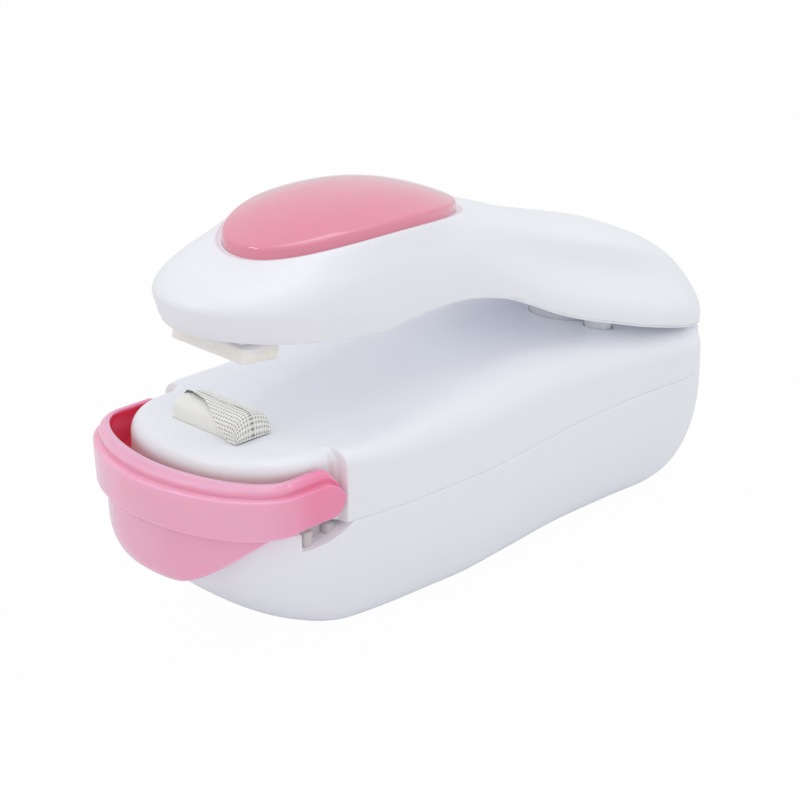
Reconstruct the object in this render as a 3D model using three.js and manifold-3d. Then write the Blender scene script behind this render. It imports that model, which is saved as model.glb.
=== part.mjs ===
// Mini bag sealer: a palm-sized, battery-driven heat sealer for snack bags.
// Millimetres, +Z up. The nose with the heater points to -Y, the hinge is at +Y,
// and X = 0 is the plane of symmetry. The arm stands open, as it does when nobody presses it.

import * as THREE from 'three';
import { mergeVertices, toCreasedNormals } from 'three/addons/utils/BufferGeometryUtils.js';
import Module from 'manifold-3d';

const wasm = await Module();
wasm.setup();

// Driving dimensions
const GAP = 0.3;                 // air between neighbouring pieces
const WALL = 1.6;                // moulded wall of the shells
const NOSE_Y = -46.2;            // front of the base
const REAR_Y = 51.25;            // back of the base and of the arm
const NOSE_CAP = 12.2;           // length over which the nose closes
const REAR_CAP = 13;             // length over which the rear closes
const NOSE_WIDTH = 16.3;         // half-width of the nose between the guard's arms
const SHOULDER_Y = -30.4;        // where the nose steps out to the full width
const HINGE = { y: 42, z: 28.2, radius: 1.25 };
const OPEN_ANGLE = 6.2;          // degrees that the arm stands open
const PIVOT = { y: -34, z: 22.3, radius: 1.5 };
const GUARD = { half: 19.3, reach: 17.25, wall: 1.5, round: 2.35, low: 18.75, crease: 25, high: 26.8 };
const SHIELD = { half: 18.6, reach: 16.4, bottom: 9.9, turn: 5, rise: 0.0315 };
const CELL = { radius: 7, length: 49.2, nub: 1.3, x: 7.05, z: 10.4 };
const HEATER = { x: -0.9, y: -35.8, half: 6.5, depth: 2.6, top: 31.3, arch: 1.5, wireEnd: 7.1 };
const PAD = { half: 7.4, front: -39.2, rear: -32.6, low: 31.2, thick: 2 };
const OVAL = { y: -15.9, z: 47.7, half: 11, reach: 19.1, tilt: 4.5, arch: 2.15 };
const SWITCH = { x: 8, y: 31, travel: 1.19 };
const SPRING = { y: 31.5, radius: 3.1, wire: 0.3, turns: 4 };

// Finishes
const FINISH = {
  white: { color: 0xeef0f6, roughness: 0.28, metalness: 0 },
  underside: { color: 0xe3e4ea, roughness: 0.45, metalness: 0 },
  guard: { color: 0xf094b8, roughness: 0.3, metalness: 0 },
  oval: { color: 0xee8fa8, roughness: 0.2, metalness: 0 },
  silicone: { color: 0xe4ddcd, roughness: 0.6, metalness: 0 },
  ceramic: { color: 0xe9e7da, roughness: 0.5, metalness: 0 },
  cloth: { color: 0xe6e5dc, roughness: 0.85, metalness: 0 },
  steel: { color: 0xb9bcc0, roughness: 0.35, metalness: 1 },
  brass: { color: 0xc9a557, roughness: 0.35, metalness: 1 },
  cell: { color: 0x3c4450, roughness: 0.4, metalness: 0.3 },
  lead: { color: 0xb03a3a, roughness: 0.5, metalness: 0 },
};

// Curves

// A smooth function of y through [y, value] knots that never overshoots them.
function curveThrough(knots) {
  const n = knots.length;
  const step = [];
  const slope = [];
  for (let i = 0; i < n - 1; i++) {
    step.push(knots[i + 1][0] - knots[i][0]);
    slope.push((knots[i + 1][1] - knots[i][1]) / step[i]);
  }
  const tangent = [slope[0]];
  for (let i = 1; i < n - 1; i++) {
    const turning = slope[i - 1] * slope[i] <= 0;
    const before = 2 * step[i] + step[i - 1];
    const after = step[i] + 2 * step[i - 1];
    tangent.push(turning ? 0 : (before + after) / (before / slope[i - 1] + after / slope[i]));
  }
  tangent.push(slope[n - 2]);
  return (y) => {
    if (y <= knots[0][0]) return knots[0][1];
    if (y >= knots[n - 1][0]) return knots[n - 1][1];
    let i = 0;
    while (y > knots[i + 1][0]) i++;
    const t = (y - knots[i][0]) / step[i];
    const rise = step[i] * ((t ** 3 - 2 * t ** 2 + t) * tangent[i] + (t ** 3 - t ** 2) * tangent[i + 1]);
    return knots[i][1] * (2 * t ** 3 - 3 * t ** 2 + 1) + knots[i + 1][1] * (3 * t ** 2 - 2 * t ** 3) + rise;
  };
}

// Quarter of a superellipse: how far the side stands in at a height share of 0 to 1.
function roundedInset(size, share, power) {
  return size * (1 - (1 - (1 - share) ** power) ** (1 / power));
}

const radians = THREE.MathUtils.degToRad;

// Shape of the base
const baseWidth = curveThrough([[-46.2, 17], [-40, 17.3], [-34, 18.1], [-27, 19.3], [-17, 20], [-6, 20], [5, 18.8],
  [20, 16.9], [33, 16.5], [42, 17.1], [51.25, 17.5]]);
const deckHeight = curveThrough([[-46, 28], [-36, 28.3], [-22, 28.4], [-10, 29.6], [0, 30.2], [9, 30], [16, 28.8],
  [24, 26], [29, 24.8], [33, 24.5], [51, 24.2]]);
const deckRoundIn = curveThrough([[-46, 2.5], [-30, 2.5], [-18, 4.4], [0, 7], [20, 6.5], [35, 4.5], [51, 3.2]]);
const deckRoundDown = curveThrough([[-46, 2.4], [-30, 2.2], [-15, 4], [0, 5.4], [12, 5.2], [22, 3.6], [35, 2.8], [51, 2.4]]);
const partingHeight = (y) => 18.2 + 0.007 * (y + 30);

// Shape of the arm, drawn closed
const armWidth = curveThrough([[-45.7, 12.8], [-33, 13.6], [-22, 14.2], [-6, 13.8], [8, 13.9], [20, 15],
  [33, 16.4], [42, 17], [51.25, 17.1]]);
const armEdge = curveThrough([[-45.7, 34.6], [-33, 34.5], [-20, 34.3], [-13, 35.6], [-4, 36.7], [3, 36],
  [9.5, 34.1], [14, 32.4], [20, 30.6], [26, 29.3], [33, 27.9], [41, 26.8], [51.25, 25.8]]);
const armSkirt = curveThrough([[-45.7, 3.8], [-20, 3.4], [-6, 1.6], [6, 1.2], [51.25, 1.2]]);
const armCrown = curveThrough([[-45.7, 41], [-42, 42.3], [-38.5, 43.4], [-35.5, 44.3], [-30, 46.1], [-24, 48.2],
  [-16, 49.8], [-7, 49.4], [0, 48.3], [6.8, 46.8], [12, 45.6], [17, 44.2], [25, 42.5], [30, 41.5], [36, 40.2], [41.3, 38.5],
  [47, 36.3], [51.25, 34]]);
const armBoxing = curveThrough([[-45.7, 0.9], [-30, 0.75], [-16, 0.65], [0, 0.75], [12, 0.92], [51.25, 0.92]]);
const armHollow = curveThrough([[-45.7, 0], [0, 0], [12, 0.08], [30, 0.11], [44, 0.05], [51.25, 0]]);

// Geometry helpers

// Points of a plan outline: the nose first, up the +X side to the rear, back down the -X side.
function planOutline({ nose, rear, noseCap, rearCap, width, noseRound = 2, rearRound = 2 }) {
  const side = [];
  const capSteps = 6;
  const midSteps = 10;
  for (let i = 0; i < capSteps; i++) {
    const angle = (i / capSteps) * Math.PI / 2;
    const y = nose + noseCap * (1 - Math.cos(angle) ** (2 / noseRound));
    side.push(new THREE.Vector2(width(y) * Math.sin(angle) ** (2 / noseRound), y));
  }
  for (let i = 0; i <= midSteps; i++) {
    const y = THREE.MathUtils.lerp(nose + noseCap, rear - rearCap, i / midSteps);
    side.push(new THREE.Vector2(width(y), y));
  }
  for (let i = 1; i <= capSteps; i++) {
    const angle = (i / capSteps) * Math.PI / 2;
    const y = rear - rearCap * (1 - Math.sin(angle) ** (2 / rearRound));
    side.push(new THREE.Vector2(i === capSteps ? 0 : width(y) * Math.cos(angle) ** (2 / rearRound), y));
  }
  const mirrored = side.slice(1, -1).reverse().map((p) => new THREE.Vector2(-p.x, p.y));
  return side.concat(mirrored);
}

// Lifts a plan outline to heights given by a function of x and y.
function ring(outline, height) {
  return outline.map((p) => new THREE.Vector3(p.x, p.y, height(p.x, p.y)));
}

// Joins rings into one closed solid. The two end rings are closed straight across X.
function loft(rings) {
  const count = rings[0].length;
  const half = count / 2;
  const positions = rings.flat().flatMap((p) => [p.x, p.y, p.z]);
  const index = [];
  for (let k = 0; k < rings.length - 1; k++) {
    for (let i = 0; i < count; i++) {
      const a = k * count + i;
      const b = k * count + (i + 1) % count;
      index.push(a, b, b + count, a, b + count, a + count);
    }
  }
  const top = (rings.length - 1) * count;
  for (let i = 0; i < half; i++) {
    const across = [i, i + 1, (count - i - 1) % count, (count - i) % count];
    if (i < half - 1) {
      index.push(top + across[0], top + across[1], top + across[2]);
      index.push(across[0], across[2], across[1]);
    }
    if (i > 0) {
      index.push(top + across[0], top + across[2], top + across[3]);
      index.push(across[0], across[3], across[2]);
    }
  }
  const geometry = new THREE.BufferGeometry();
  geometry.setAttribute('position', new THREE.Float32BufferAttribute(positions, 3));
  geometry.setIndex(index);
  return geometry;
}

function block(x0, x1, y0, y1, z0, z1) {
  const geometry = new THREE.BoxGeometry(x1 - x0, y1 - y0, z1 - z0);
  return geometry.translate((x0 + x1) / 2, (y0 + y1) / 2, (z0 + z1) / 2);
}

// Round bar along an axis, from one coordinate to another, centred on the other two.
function bar(axis, radius, from, to, first, second, segments = 20) {
  const geometry = new THREE.CylinderGeometry(radius, radius, to - from, segments);
  const middle = (from + to) / 2;
  if (axis === 'x') return geometry.rotateZ(-Math.PI / 2).translate(middle, first, second);
  if (axis === 'y') return geometry.translate(first, middle, second);
  return geometry.rotateX(Math.PI / 2).translate(first, second, middle);
}

// Solid of revolution about +Z from [radius, height] points that start and end on the axis.
function turned(profile, segments = 24) {
  const points = profile.map(([radius, height]) => new THREE.Vector2(radius, height));
  return new THREE.LatheGeometry(points, segments).rotateX(Math.PI / 2);
}

// Extrudes a side-view shape, drawn as [y, z], from one x to another.
function extrudeAcross(points, x0, x1) {
  const shape = new THREE.Shape(points.map(([y, z]) => new THREE.Vector2(y, z)));
  const geometry = new THREE.ExtrudeGeometry(shape, { depth: x1 - x0, bevelEnabled: false });
  const basis = new THREE.Matrix4().makeBasis(
    new THREE.Vector3(0, 1, 0), new THREE.Vector3(0, 0, 1), new THREE.Vector3(1, 0, 0));
  return geometry.applyMatrix4(basis).translate(x0, 0, 0);
}

// Upright prism on a plan outline.
function prism(outline, z0, z1) {
  return loft([ring(outline, () => z0), ring(outline, () => z1)]);
}

// Round tube along a list of points, bent smoothly.
function wireAlong(points, radius, steps, sides = 8) {
  const path = new THREE.CatmullRomCurve3(points.map((p) => new THREE.Vector3(...p)), false, 'centripetal');
  const circle = new THREE.Shape();
  for (let i = 0; i < sides; i++) {
    const angle = (i / sides) * 2 * Math.PI;
    const method = i === 0 ? 'moveTo' : 'lineTo';
    circle[method](radius * Math.cos(angle), radius * Math.sin(angle));
  }
  return new THREE.ExtrudeGeometry(circle, { steps, extrudePath: path, bevelEnabled: false });
}

// Coil spring along +Z as one unbroken tube. Its ends run straight for one wire's thickness.
function coil({ radius, tip = radius, wire, turns, height, label }) {
  const sides = 5;
  const stepsPerTurn = 8;
  const steps = Math.round(turns * stepsPerTurn);
  const centres = [];
  for (let i = 0; i <= steps; i++) {
    const angle = (i / stepsPerTurn) * 2 * Math.PI;
    const reach = THREE.MathUtils.lerp(radius, tip, i / steps);
    const z = THREE.MathUtils.lerp(wire * 1.1, height - wire * 1.1, i / steps);
    centres.push(new THREE.Vector3(reach * Math.cos(angle), reach * Math.sin(angle), z));
  }
  const straight = (end, next) => end.clone().sub(next).setZ(0).setLength(2 * wire).add(end);
  centres.unshift(straight(centres[0], centres[1]));
  centres.push(straight(centres.at(-1), centres.at(-2)));
  const last = centres.length - 1;
  const positions = [];
  centres.forEach((centre, i) => {
    const along = centres[Math.min(i + 1, last)].clone().sub(centres[Math.max(i - 1, 0)]).normalize();
    const side = new THREE.Vector3(0, 0, 1).cross(along).normalize();
    const up = along.clone().cross(side).normalize();
    for (let s = 0; s < sides; s++) {
      const angle = (s / sides) * 2 * Math.PI;
      const point = centre.clone().addScaledVector(side, wire * Math.cos(angle));
      point.addScaledVector(up, wire * Math.sin(angle));
      positions.push(point.x, point.y, point.z);
    }
  });
  const index = [];
  for (let i = 0; i < last; i++) {
    for (let s = 0; s < sides; s++) {
      const a = i * sides + s;
      const b = i * sides + (s + 1) % sides;
      index.push(a, b, b + sides, a, b + sides, a + sides);
    }
  }
  for (let s = 1; s < sides - 1; s++) {
    index.push(0, s + 1, s);
    index.push(last * sides, last * sides + s, last * sides + s + 1);
  }
  let least = Infinity;
  for (let i = 0; i <= last; i++) {
    for (let j = i + stepsPerTurn / 2; j <= last; j++) {
      least = Math.min(least, centres[i].distanceTo(centres[j]) - 2 * wire);
    }
  }
  console.log(`${label}: least gap between turns ${least.toFixed(2)} mm`);
  const geometry = new THREE.BufferGeometry();
  geometry.setAttribute('position', new THREE.Float32BufferAttribute(positions, 3));
  geometry.setIndex(index);
  return geometry;
}

// Boolean work

function solid(geometry) {
  if (!(geometry instanceof THREE.BufferGeometry)) return geometry;
  const bare = new THREE.BufferGeometry();
  bare.setAttribute('position', geometry.getAttribute('position').clone());
  if (geometry.index) bare.setIndex(geometry.index.clone());
  const merged = mergeVertices(bare, 1e-4);
  const source = merged.index.array;
  const triangles = [];
  for (let i = 0; i < source.length; i += 3) {
    const [a, b, c] = [source[i], source[i + 1], source[i + 2]];
    if (a !== b && b !== c && a !== c) triangles.push(a, b, c);
  }
  return new wasm.Manifold(new wasm.Mesh({
    numProp: 3,
    vertProperties: new Float32Array(merged.getAttribute('position').array),
    triVerts: new Uint32Array(triangles),
  }));
}

const carve = (body, ...tools) => tools.reduce((left, tool) => left.subtract(solid(tool)), solid(body));
const fuse = (...bodies) => bodies.slice(1).reduce((all, body) => all.add(solid(body)), solid(bodies[0]));
const common = (...bodies) => bodies.slice(1).reduce((all, body) => all.intersect(solid(body)), solid(bodies[0]));

function geometryOf(body) {
  const mesh = solid(body).getMesh();
  const geometry = new THREE.BufferGeometry();
  const positions = [];
  for (let i = 0; i < mesh.numVert; i++) {
    positions.push(...mesh.vertProperties.slice(i * mesh.numProp, i * mesh.numProp + 3));
  }
  geometry.setAttribute('position', new THREE.Float32BufferAttribute(positions, 3));
  geometry.setIndex([...mesh.triVerts]);
  return geometry;
}

function piece(name, body, finish) {
  const smooth = toCreasedNormals(geometryOf(body), radians(32));
  const mesh = new THREE.Mesh(smooth, new THREE.MeshStandardMaterial(FINISH[finish]));
  mesh.name = name;
  return mesh;
}

// Base shells

// Outline of the hull at a share of its height, moved in by a wall thickness.
function hullOutline(share, wall = 0, noseWall = wall) {
  const side = roundedInset(9, share, 2.3);
  const narrow = (y) => (wall > 0 ? Math.min(baseWidth(y), NOSE_WIDTH + Math.max(0, y - SHOULDER_Y)) : baseWidth(y));
  return planOutline({
    nose: NOSE_Y + noseWall + roundedInset(18.2 - noseWall * 0.8, share, 1.8),
    rear: REAR_Y - wall - roundedInset(11, share, 2.3),
    noseCap: THREE.MathUtils.lerp(8, NOSE_CAP, share) - noseWall,
    rearCap: REAR_CAP - wall - roundedInset(4, share, 2),
    width: (y) => narrow(y) - wall - side,
    noseRound: 2.4,
    rearRound: 2.5,
  });
}

const HULL_SHARES = [0, 0.04, 0.12, 0.26, 0.5, 1];

function hullRings(wall, noseWall) {
  return HULL_SHARES.map((share) => {
    const height = (x, y) => wall + share * (partingHeight(y) - wall);
    return ring(hullOutline(share, wall, noseWall), height);
  });
}

const hullSolid = () => loft(hullRings(0, 0));
const hullShell = () => carve(hullSolid(), loft([
  ...hullRings(WALL, 6),
  ring(hullOutline(1, WALL, 6), () => 30),
]));

const FRONT_SCREWS = [[-11.5, -22.5], [11.5, -22.5]];
const REAR_SCREW = [0, 45.6];
const DOOR = { inset: 5.1, front: -15.4, rear: 40.3, top: 6.6 };

// Plan of the battery door, which follows the sides of the base.
function doorOutline(clear) {
  return planOutline({
    nose: DOOR.front + clear, rear: DOOR.rear - clear, noseCap: 4, rearCap: 4,
    width: (y) => baseWidth(y) - DOOR.inset - clear, noseRound: 5, rearRound: 5,
  });
}

const cellChannels = () => [-CELL.x, CELL.x].map((x) =>
  bar('y', CELL.radius + 0.25, -15.6, 40.5, x, CELL.z, 28));

function baseLowerShell() {
  const bulkheads = [block(-20, 20, -17.2, -15.8, 0, 17), block(-20, 20, 40.7, 42, 0, 17)];
  const bosses = [...FRONT_SCREWS, REAR_SCREW].map(([x, y]) => bar('z', 3.1, 0, 17, x, y));
  const ribs = [-37.2, -35.2, -33.2].flatMap((y) => [-1, 1].map((side) =>
    block(Math.min(side * 14.6, side * 16.4), Math.max(side * 14.6, side * 16.4), y - 0.4, y + 0.4, 11, 17.6)));
  const inside = common(hullSolid(), fuse(...bulkheads, ...bosses, ...ribs));
  const slot = [[-38.8, 15.8], [-35.5, 15.9], [-33, 16.3], [-31, 17.1], [-29, 18.6], [-29, 20], [-38.8, 20]];
  const screwHoles = [...FRONT_SCREWS, REAR_SCREW].flatMap(([x, y]) =>
    [bar('z', 2.5, -1, 12, x, y), bar('z', 1.45, 11, 18, x, y)]);
  return carve(
    fuse(hullShell(), inside),
    prism(doorOutline(0), -1, DOOR.top),
    ...cellChannels(),
    extrudeAcross(slot, 16.4, 22),
    extrudeAcross(slot, -22, -16.4),
    ...screwHoles,
  );
}

// Deck outline at an angle of the rounded edge, 0 at the side and 90 on top.
function deckOutline(angle, wall) {
  const inward = 1 - Math.cos(radians(angle));
  const narrow = (y) => (wall > 0 ? Math.min(baseWidth(y), NOSE_WIDTH + Math.max(0, y - SHOULDER_Y)) : baseWidth(y));
  return planOutline({
    nose: NOSE_Y + wall + deckRoundIn(NOSE_Y) * inward,
    rear: REAR_Y - wall - deckRoundIn(REAR_Y) * inward,
    noseCap: NOSE_CAP - wall - deckRoundIn(NOSE_Y) * inward,
    rearCap: REAR_CAP - wall - deckRoundIn(REAR_Y) * inward,
    width: (y) => narrow(y) - wall - deckRoundIn(y) * inward,
    noseRound: 2.4,
    rearRound: 2.5,
  });
}

function deckRings(wall, angles) {
  return angles.map((angle) => ring(deckOutline(angle, wall), (x, y) =>
    deckHeight(y) - wall - deckRoundDown(y) * (1 - Math.sin(radians(angle)))));
}

const deckSolid = () => loft([
  ring(deckOutline(0, 0), (x, y) => partingHeight(y) + GAP),
  ...deckRings(0, [0, 22, 45, 68, 90]),
]);

// Everything beside the nose that leaves room for the guard's arms.
function guardChannel() {
  const nose = planOutline({
    nose: NOSE_Y, rear: 0, noseCap: NOSE_CAP, rearCap: 5, width: () => NOSE_WIDTH, noseRound: 2.4,
  });
  return carve(block(-25, 25, -60, SHOULDER_Y, 10, 40), prism(nose, 5, 45));
}

function hingeEar(x0, x1, reach) {
  return fuse(block(x0, x1, HINGE.y - reach, HINGE.y + reach, 23, HINGE.z),
    bar('x', reach, x0, x1, HINGE.y, HINGE.z));
}

function baseUpperShell() {
  const hollow = loft([
    ring(deckOutline(0, WALL), () => 10),
    ...deckRings(WALL, [0, 30, 60, 90]),
  ]);
  const shell = carve(deckSolid(), hollow);
  const bosses = [...FRONT_SCREWS, REAR_SCREW].map(([x, y]) => bar('z', 2.7, 17.3, 30, x, y));
  const stakes = [26.6, 35.4].flatMap((y) => [6.25, 9.75].map((x) => bar('z', 0.9, 19.9, 24, x, y, 12)));
  const bulkheads = [block(-14.5, 14.5, -17.2, -15.8, 17.8, 30), block(-13, 13, 40.7, 42, 19.9, 25)];
  const guide = bar('z', 2.9, 22.15, 24, SWITCH.x, SWITCH.y);
  const inside = common(deckSolidDown(), fuse(...bosses, ...stakes, ...bulkheads, guide));
  const ears = [hingeEar(-8.8, -6.4, 3.2), hingeEar(6.4, 8.8, 3.2)];
  const seat = deckHeight(SPRING.y);
  return carve(
    fuse(shell, inside, ...ears, bar('z', 2.2, seat - 1.2, seat + 1, 0, SPRING.y)),
    guardChannel(),
    block(HEATER.x - 7.6, HEATER.x + 7.8, HEATER.y - 2.9, HEATER.y + 3.6, 26.3, 32),
    block(HEATER.x - 8.6, HEATER.x + 8.6, HEATER.y - 4.9, HEATER.y + 4.9, 20, 26.35),
    carve(bar('z', 4, seat - 0.7, seat + 3, 0, SPRING.y, 28), bar('z', 2.2, seat - 1.2, seat + 1, 0, SPRING.y)),
    bar('z', 1.95, 20, 28, SWITCH.x, SWITCH.y),
    bar('x', HINGE.radius + GAP, -10, 10, HINGE.y, HINGE.z),
    bar('x', PIVOT.radius + GAP, -20, -10, PIVOT.y, PIVOT.z),
    bar('x', PIVOT.radius + GAP, 10, 20, PIVOT.y, PIVOT.z),
    ...[...FRONT_SCREWS, REAR_SCREW].map(([x, y]) => bar('z', 1.3, 10, 22.2, x, y)),
  );
}

// The deck's outer form carried down, so that bosses can hang below the parting line.
const deckSolidDown = () => loft([
  ring(deckOutline(0, WALL * 0.4), () => 16),
  ...deckRings(WALL * 0.4, [0, 30, 60, 90]),
]);

function batteryDoor() {
  const panel = common(hullShell(), prism(doorOutline(GAP), -1, DOOR.top - GAP));
  const saddles = [-6, 12.5, 31].map((y) => block(-9.5, 9.5, y - 0.6, y + 0.6, 0.6, 6));
  const cradle = common(fuse(...saddles), hullSolid());
  const grip = bar('x', 2.4, -5, 5, DOOR.front + 4.6, -1.5, 24);
  const pocketFloor = common(hullSolid(), block(-6, 6, DOOR.front + 1.2, DOOR.front + 8, 0.5, 2.4));
  return carve(fuse(panel, cradle, pocketFloor), grip, ...cellChannels());
}

// Batteries and their contacts

// One cell lying along Y with its raised end at -Y.
function cellBody() {
  const { radius, length, nub } = CELL;
  return turned([[0, 0], [radius - 0.5, 0], [radius, 0.5], [radius, length - 0.6], [radius - 0.6, length],
    [2.75, length], [2.75, length + nub], [0, length + nub]], 28);
}

function cellPiece(name, x, front, turnedRound) {
  const mesh = piece(name, cellBody(), 'cell');
  mesh.rotation.x = turnedRound ? -Math.PI / 2 : Math.PI / 2;
  mesh.position.set(x, turnedRound ? front : front + CELL.length + CELL.nub, CELL.z);
  return mesh;
}

function contactPlate(x0, x1, y) {
  return block(x0, x1, y - 0.25, y + 0.25, 6.9, 16);
}

function batteryPieces() {
  const leftFront = -14.2;
  const rightFront = -11.2;
  const coilShape = { radius: 3.4, tip: 2, wire: 0.3, turns: 2, height: 2.9 };
  const front = piece('battery_spring_front', coil({ ...coilShape, label: 'battery_spring_front' }), 'steel');
  front.rotation.x = -Math.PI / 2;
  front.position.set(CELL.x, -14.45, CELL.z);
  const rear = piece('battery_spring_rear', coil({ ...coilShape, label: 'battery_spring_rear' }), 'steel');
  rear.rotation.x = Math.PI / 2;
  rear.position.set(-CELL.x, 39.55, CELL.z);
  return [
    cellPiece('battery_cell_left', -CELL.x, leftFront, false),
    cellPiece('battery_cell_right', CELL.x, rightFront, true),
    piece('battery_contact_front', contactPlate(-12, 12, -15.1), 'steel'),
    piece('battery_contact_rear_left', contactPlate(-11, -2.4, 40.1), 'steel'),
    piece('battery_contact_rear_right', contactPlate(2.4, 11, 40.1), 'steel'),
    front,
    rear,
  ];
}

// Heater in the nose

// Side view of the heater bar: an upright stem with an arched crest, grown by a margin.
function heaterOutline(margin, low) {
  const points = [];
  const spring = HEATER.top - HEATER.arch;
  for (let i = 0; i <= 14; i++) {
    const angle = Math.PI * (i / 14);
    points.push([HEATER.y + (HEATER.depth + margin) * Math.cos(angle), spring + (HEATER.arch + margin) * Math.sin(angle)]);
  }
  points.push([HEATER.y - HEATER.depth - margin, low], [HEATER.y + HEATER.depth + margin, low]);
  return points;
}

function heaterBlock() {
  const { x, y, half, wireEnd } = HEATER;
  const flange = block(x - 8.3, x + 8.3, y - 4.6, y + 4.6, 24.6, 26);
  return carve(
    fuse(extrudeAcross(heaterOutline(0, 25.5), x - half, x + half), flange),
    bar('z', 0.6, 24, 27, x - wireEnd, y, 12),
    bar('z', 0.6, 24, 27, x + wireEnd, y, 12),
  );
}

function heatingWire() {
  const { x, y, wireEnd } = HEATER;
  const crest = HEATER.top + 0.24;
  const half = [[wireEnd, 22.6], [wireEnd, 27], [wireEnd, crest - 1.1], [wireEnd - 0.3, crest - 0.3],
    [wireEnd - 1.1, crest], [wireEnd - 2, crest]];
  return wireAlong([
    ...half.map(([reach, z]) => [x - reach, y, z]),
    [x, y, crest],
    ...half.reverse().map(([reach, z]) => [x + reach, y, z]),
  ], 0.16, 44);
}

function glassCloth() {
  const { x, y, half } = HEATER;
  const sleeve = extrudeAcross(heaterOutline(0.8, 28.7), x - half + 2.2, x + half + 1.1);
  const core = extrudeAcross(heaterOutline(0.58, 27), x - half, x + half + 0.82);
  const frontTrim = block(x - half, x + half - 1.6, y - 6, y - 1.7, 27, HEATER.top - 0.1);
  return carve(sleeve, core, frontTrim);
}

function heaterTerminal(side) {
  const tube = turned([[0, 0], [1.2, 0], [1.2, 2.4], [0, 2.4]], 14);
  const x = HEATER.x + side * HEATER.wireEnd;
  return carve(tube.translate(x, HEATER.y, 21.9), bar('z', 0.5, 22.2, 25, x, HEATER.y, 12));
}

function heaterLead(side, end) {
  return wireAlong([[HEATER.x + side * HEATER.wireEnd, HEATER.y, 21.5], [side * 8.6, -33.4, 19.9], [side * 12.6, -29.6, 19.6],
    [side * 16, -23, 19.6], [side * 16, -10, 19.7], [side * 14.6, 6, 19.8], [side * 13, 20, 19.9], ...end],
  0.5, 26);
}

// Switch under the deck

function switchPlunger() {
  return turned([[0, 21.4], [2.6, 21.4], [2.6, 21.8], [1.6, 21.8], [1.6, 25.95], [1.1, 26.45], [0, 26.45]], 20)
    .translate(SWITCH.x, SWITCH.y, 0);
}

function switchBridge() {
  return turned([[0, 20.6], [2.6, 20.6], [2.6, 21.1], [0, 21.1]], 20).translate(SWITCH.x, SWITCH.y, 0);
}

function switchStrip(x, rearTab) {
  const strip = block(x - 1, x + 1, 25.4, 36.6, 19.05, 19.5);
  return rearTab ? fuse(strip, block(x - 1, x + 1, 36, 40.4, 19.05, 19.5)) : strip;
}

// Arm, drawn closed and turned open as a group

// Arm outline at an angle of its section, 0 at the widest line and 90 on the crown.
function armOutline(angle, wall) {
  const across = Math.cos(radians(angle));
  const inward = 1 - across;
  const hollow = Math.sin(radians(2 * angle)) ** 2;
  return planOutline({
    nose: -45.7 + wall + 9 * inward,
    rear: REAR_Y - wall - 6.5 * inward,
    noseCap: 15 - wall - 6 * inward,
    rearCap: 13 - wall - 4 * inward,
    width: (y) => (armWidth(y) - wall) * (across ** armBoxing(y) - armHollow(y) * hollow),
    noseRound: 2,
    rearRound: 2.5,
  });
}

function armRings(wall, angles) {
  return angles.map((angle) => ring(armOutline(angle, wall), (x, y) => {
    const low = armEdge(y) + armSkirt(y);
    return low + (armCrown(y) - wall - low) * Math.sin(radians(angle)) ** armBoxing(y);
  }));
}

// Outline of the arm's lower edge, drawn in under the widest line along the skirt.
function armSkirtOutline(wall) {
  return planOutline({
    nose: -44.2 + wall, rear: REAR_Y - wall, noseCap: 14.4 - wall, rearCap: 13 - wall,
    width: (y) => armWidth(y) - wall - 0.28 * (armSkirt(y) - 1.2), rearRound: 2.5,
  });
}

const ARM_ANGLES = [0, 16, 32, 48, 64, 80];
const armSolid = () => loft([ring(armSkirtOutline(0), (x, y) => armEdge(y)), ...armRings(0, ARM_ANGLES)]);

function ovalOutline(grow, share = 1) {
  const half = (OVAL.half + grow) * share;
  const reach = (OVAL.reach + grow) * share;
  return planOutline({
    nose: -reach, rear: reach, noseCap: reach, rearCap: reach, width: () => half, noseRound: 2.15, rearRound: 2.15,
  }).filter((p, i, all) => i === 0 || p.distanceTo(all[i - 1]) > 1e-6);
}

// Puts a solid drawn about the oval's rim into the arm.
function onOval(geometry) {
  return geometry.rotateX(radians(OVAL.tilt)).translate(0, OVAL.y, OVAL.z);
}

// Height of a level of the oval, which bows down towards its ends.
const ovalLevel = (z) => (x, y) => z - OVAL.arch * (y / OVAL.reach) ** 2;
const ovalPrism = (grow, low, high) => onOval(loft([
  ring(ovalOutline(grow), ovalLevel(low)), ring(ovalOutline(grow), ovalLevel(high))]));
const ARM_SCREWS = [[-7, -22], [7, -22], [0, 13]];
const OVAL_PINS = [-9, 9];

const plateLow = (y) => armEdge(y) + 1.2;

function armEar(side) {
  const [x0, x1] = side < 0 ? [-11.4, -9.3] : [9.3, 11.4];
  return fuse(block(x0, x1, HINGE.y - 3, HINGE.y + 3, HINGE.z, 40), bar('x', 3, x0, x1, HINGE.y, HINGE.z));
}

// Space inside the arm's cover, drawn in further by a margin.
function armHollowSpace(margin) {
  const wall = WALL + margin;
  return loft([
    ring(armSkirtOutline(wall), (x, y) => armEdge(y) - 4),
    ring(armSkirtOutline(wall), (x, y) => armEdge(y)),
    ...armRings(wall, [0, 20, 40, 60, 80]),
  ]);
}

function armCover() {
  const floor = common(ovalPrism(1.6, -3.5, -1.9), armSolid());
  const bosses = ARM_SCREWS.map(([x, y]) => bar('z', 2.3, plateLow(y - 2.3) + 1.7, 50, x, y));
  const inside = common(armSolid(), fuse(...bosses, armEar(-1), armEar(1)));
  const shell = carve(armSolid(), armHollowSpace(0));
  const holes = ARM_SCREWS.map(([x, y]) => bar('z', 1.15, 30, plateLow(y) + 7, x, y));
  const pins = OVAL_PINS.map((y) => onOval(bar('z', 1.7, -8, 0, 0, y)));
  return carve(
    fuse(carve(fuse(shell, inside), ovalPrism(0.35, -1.9, 20)), floor),
    bar('x', HINGE.radius + GAP, -13, 13, HINGE.y, HINGE.z),
    ...holes,
    ...pins,
  );
}

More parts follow.
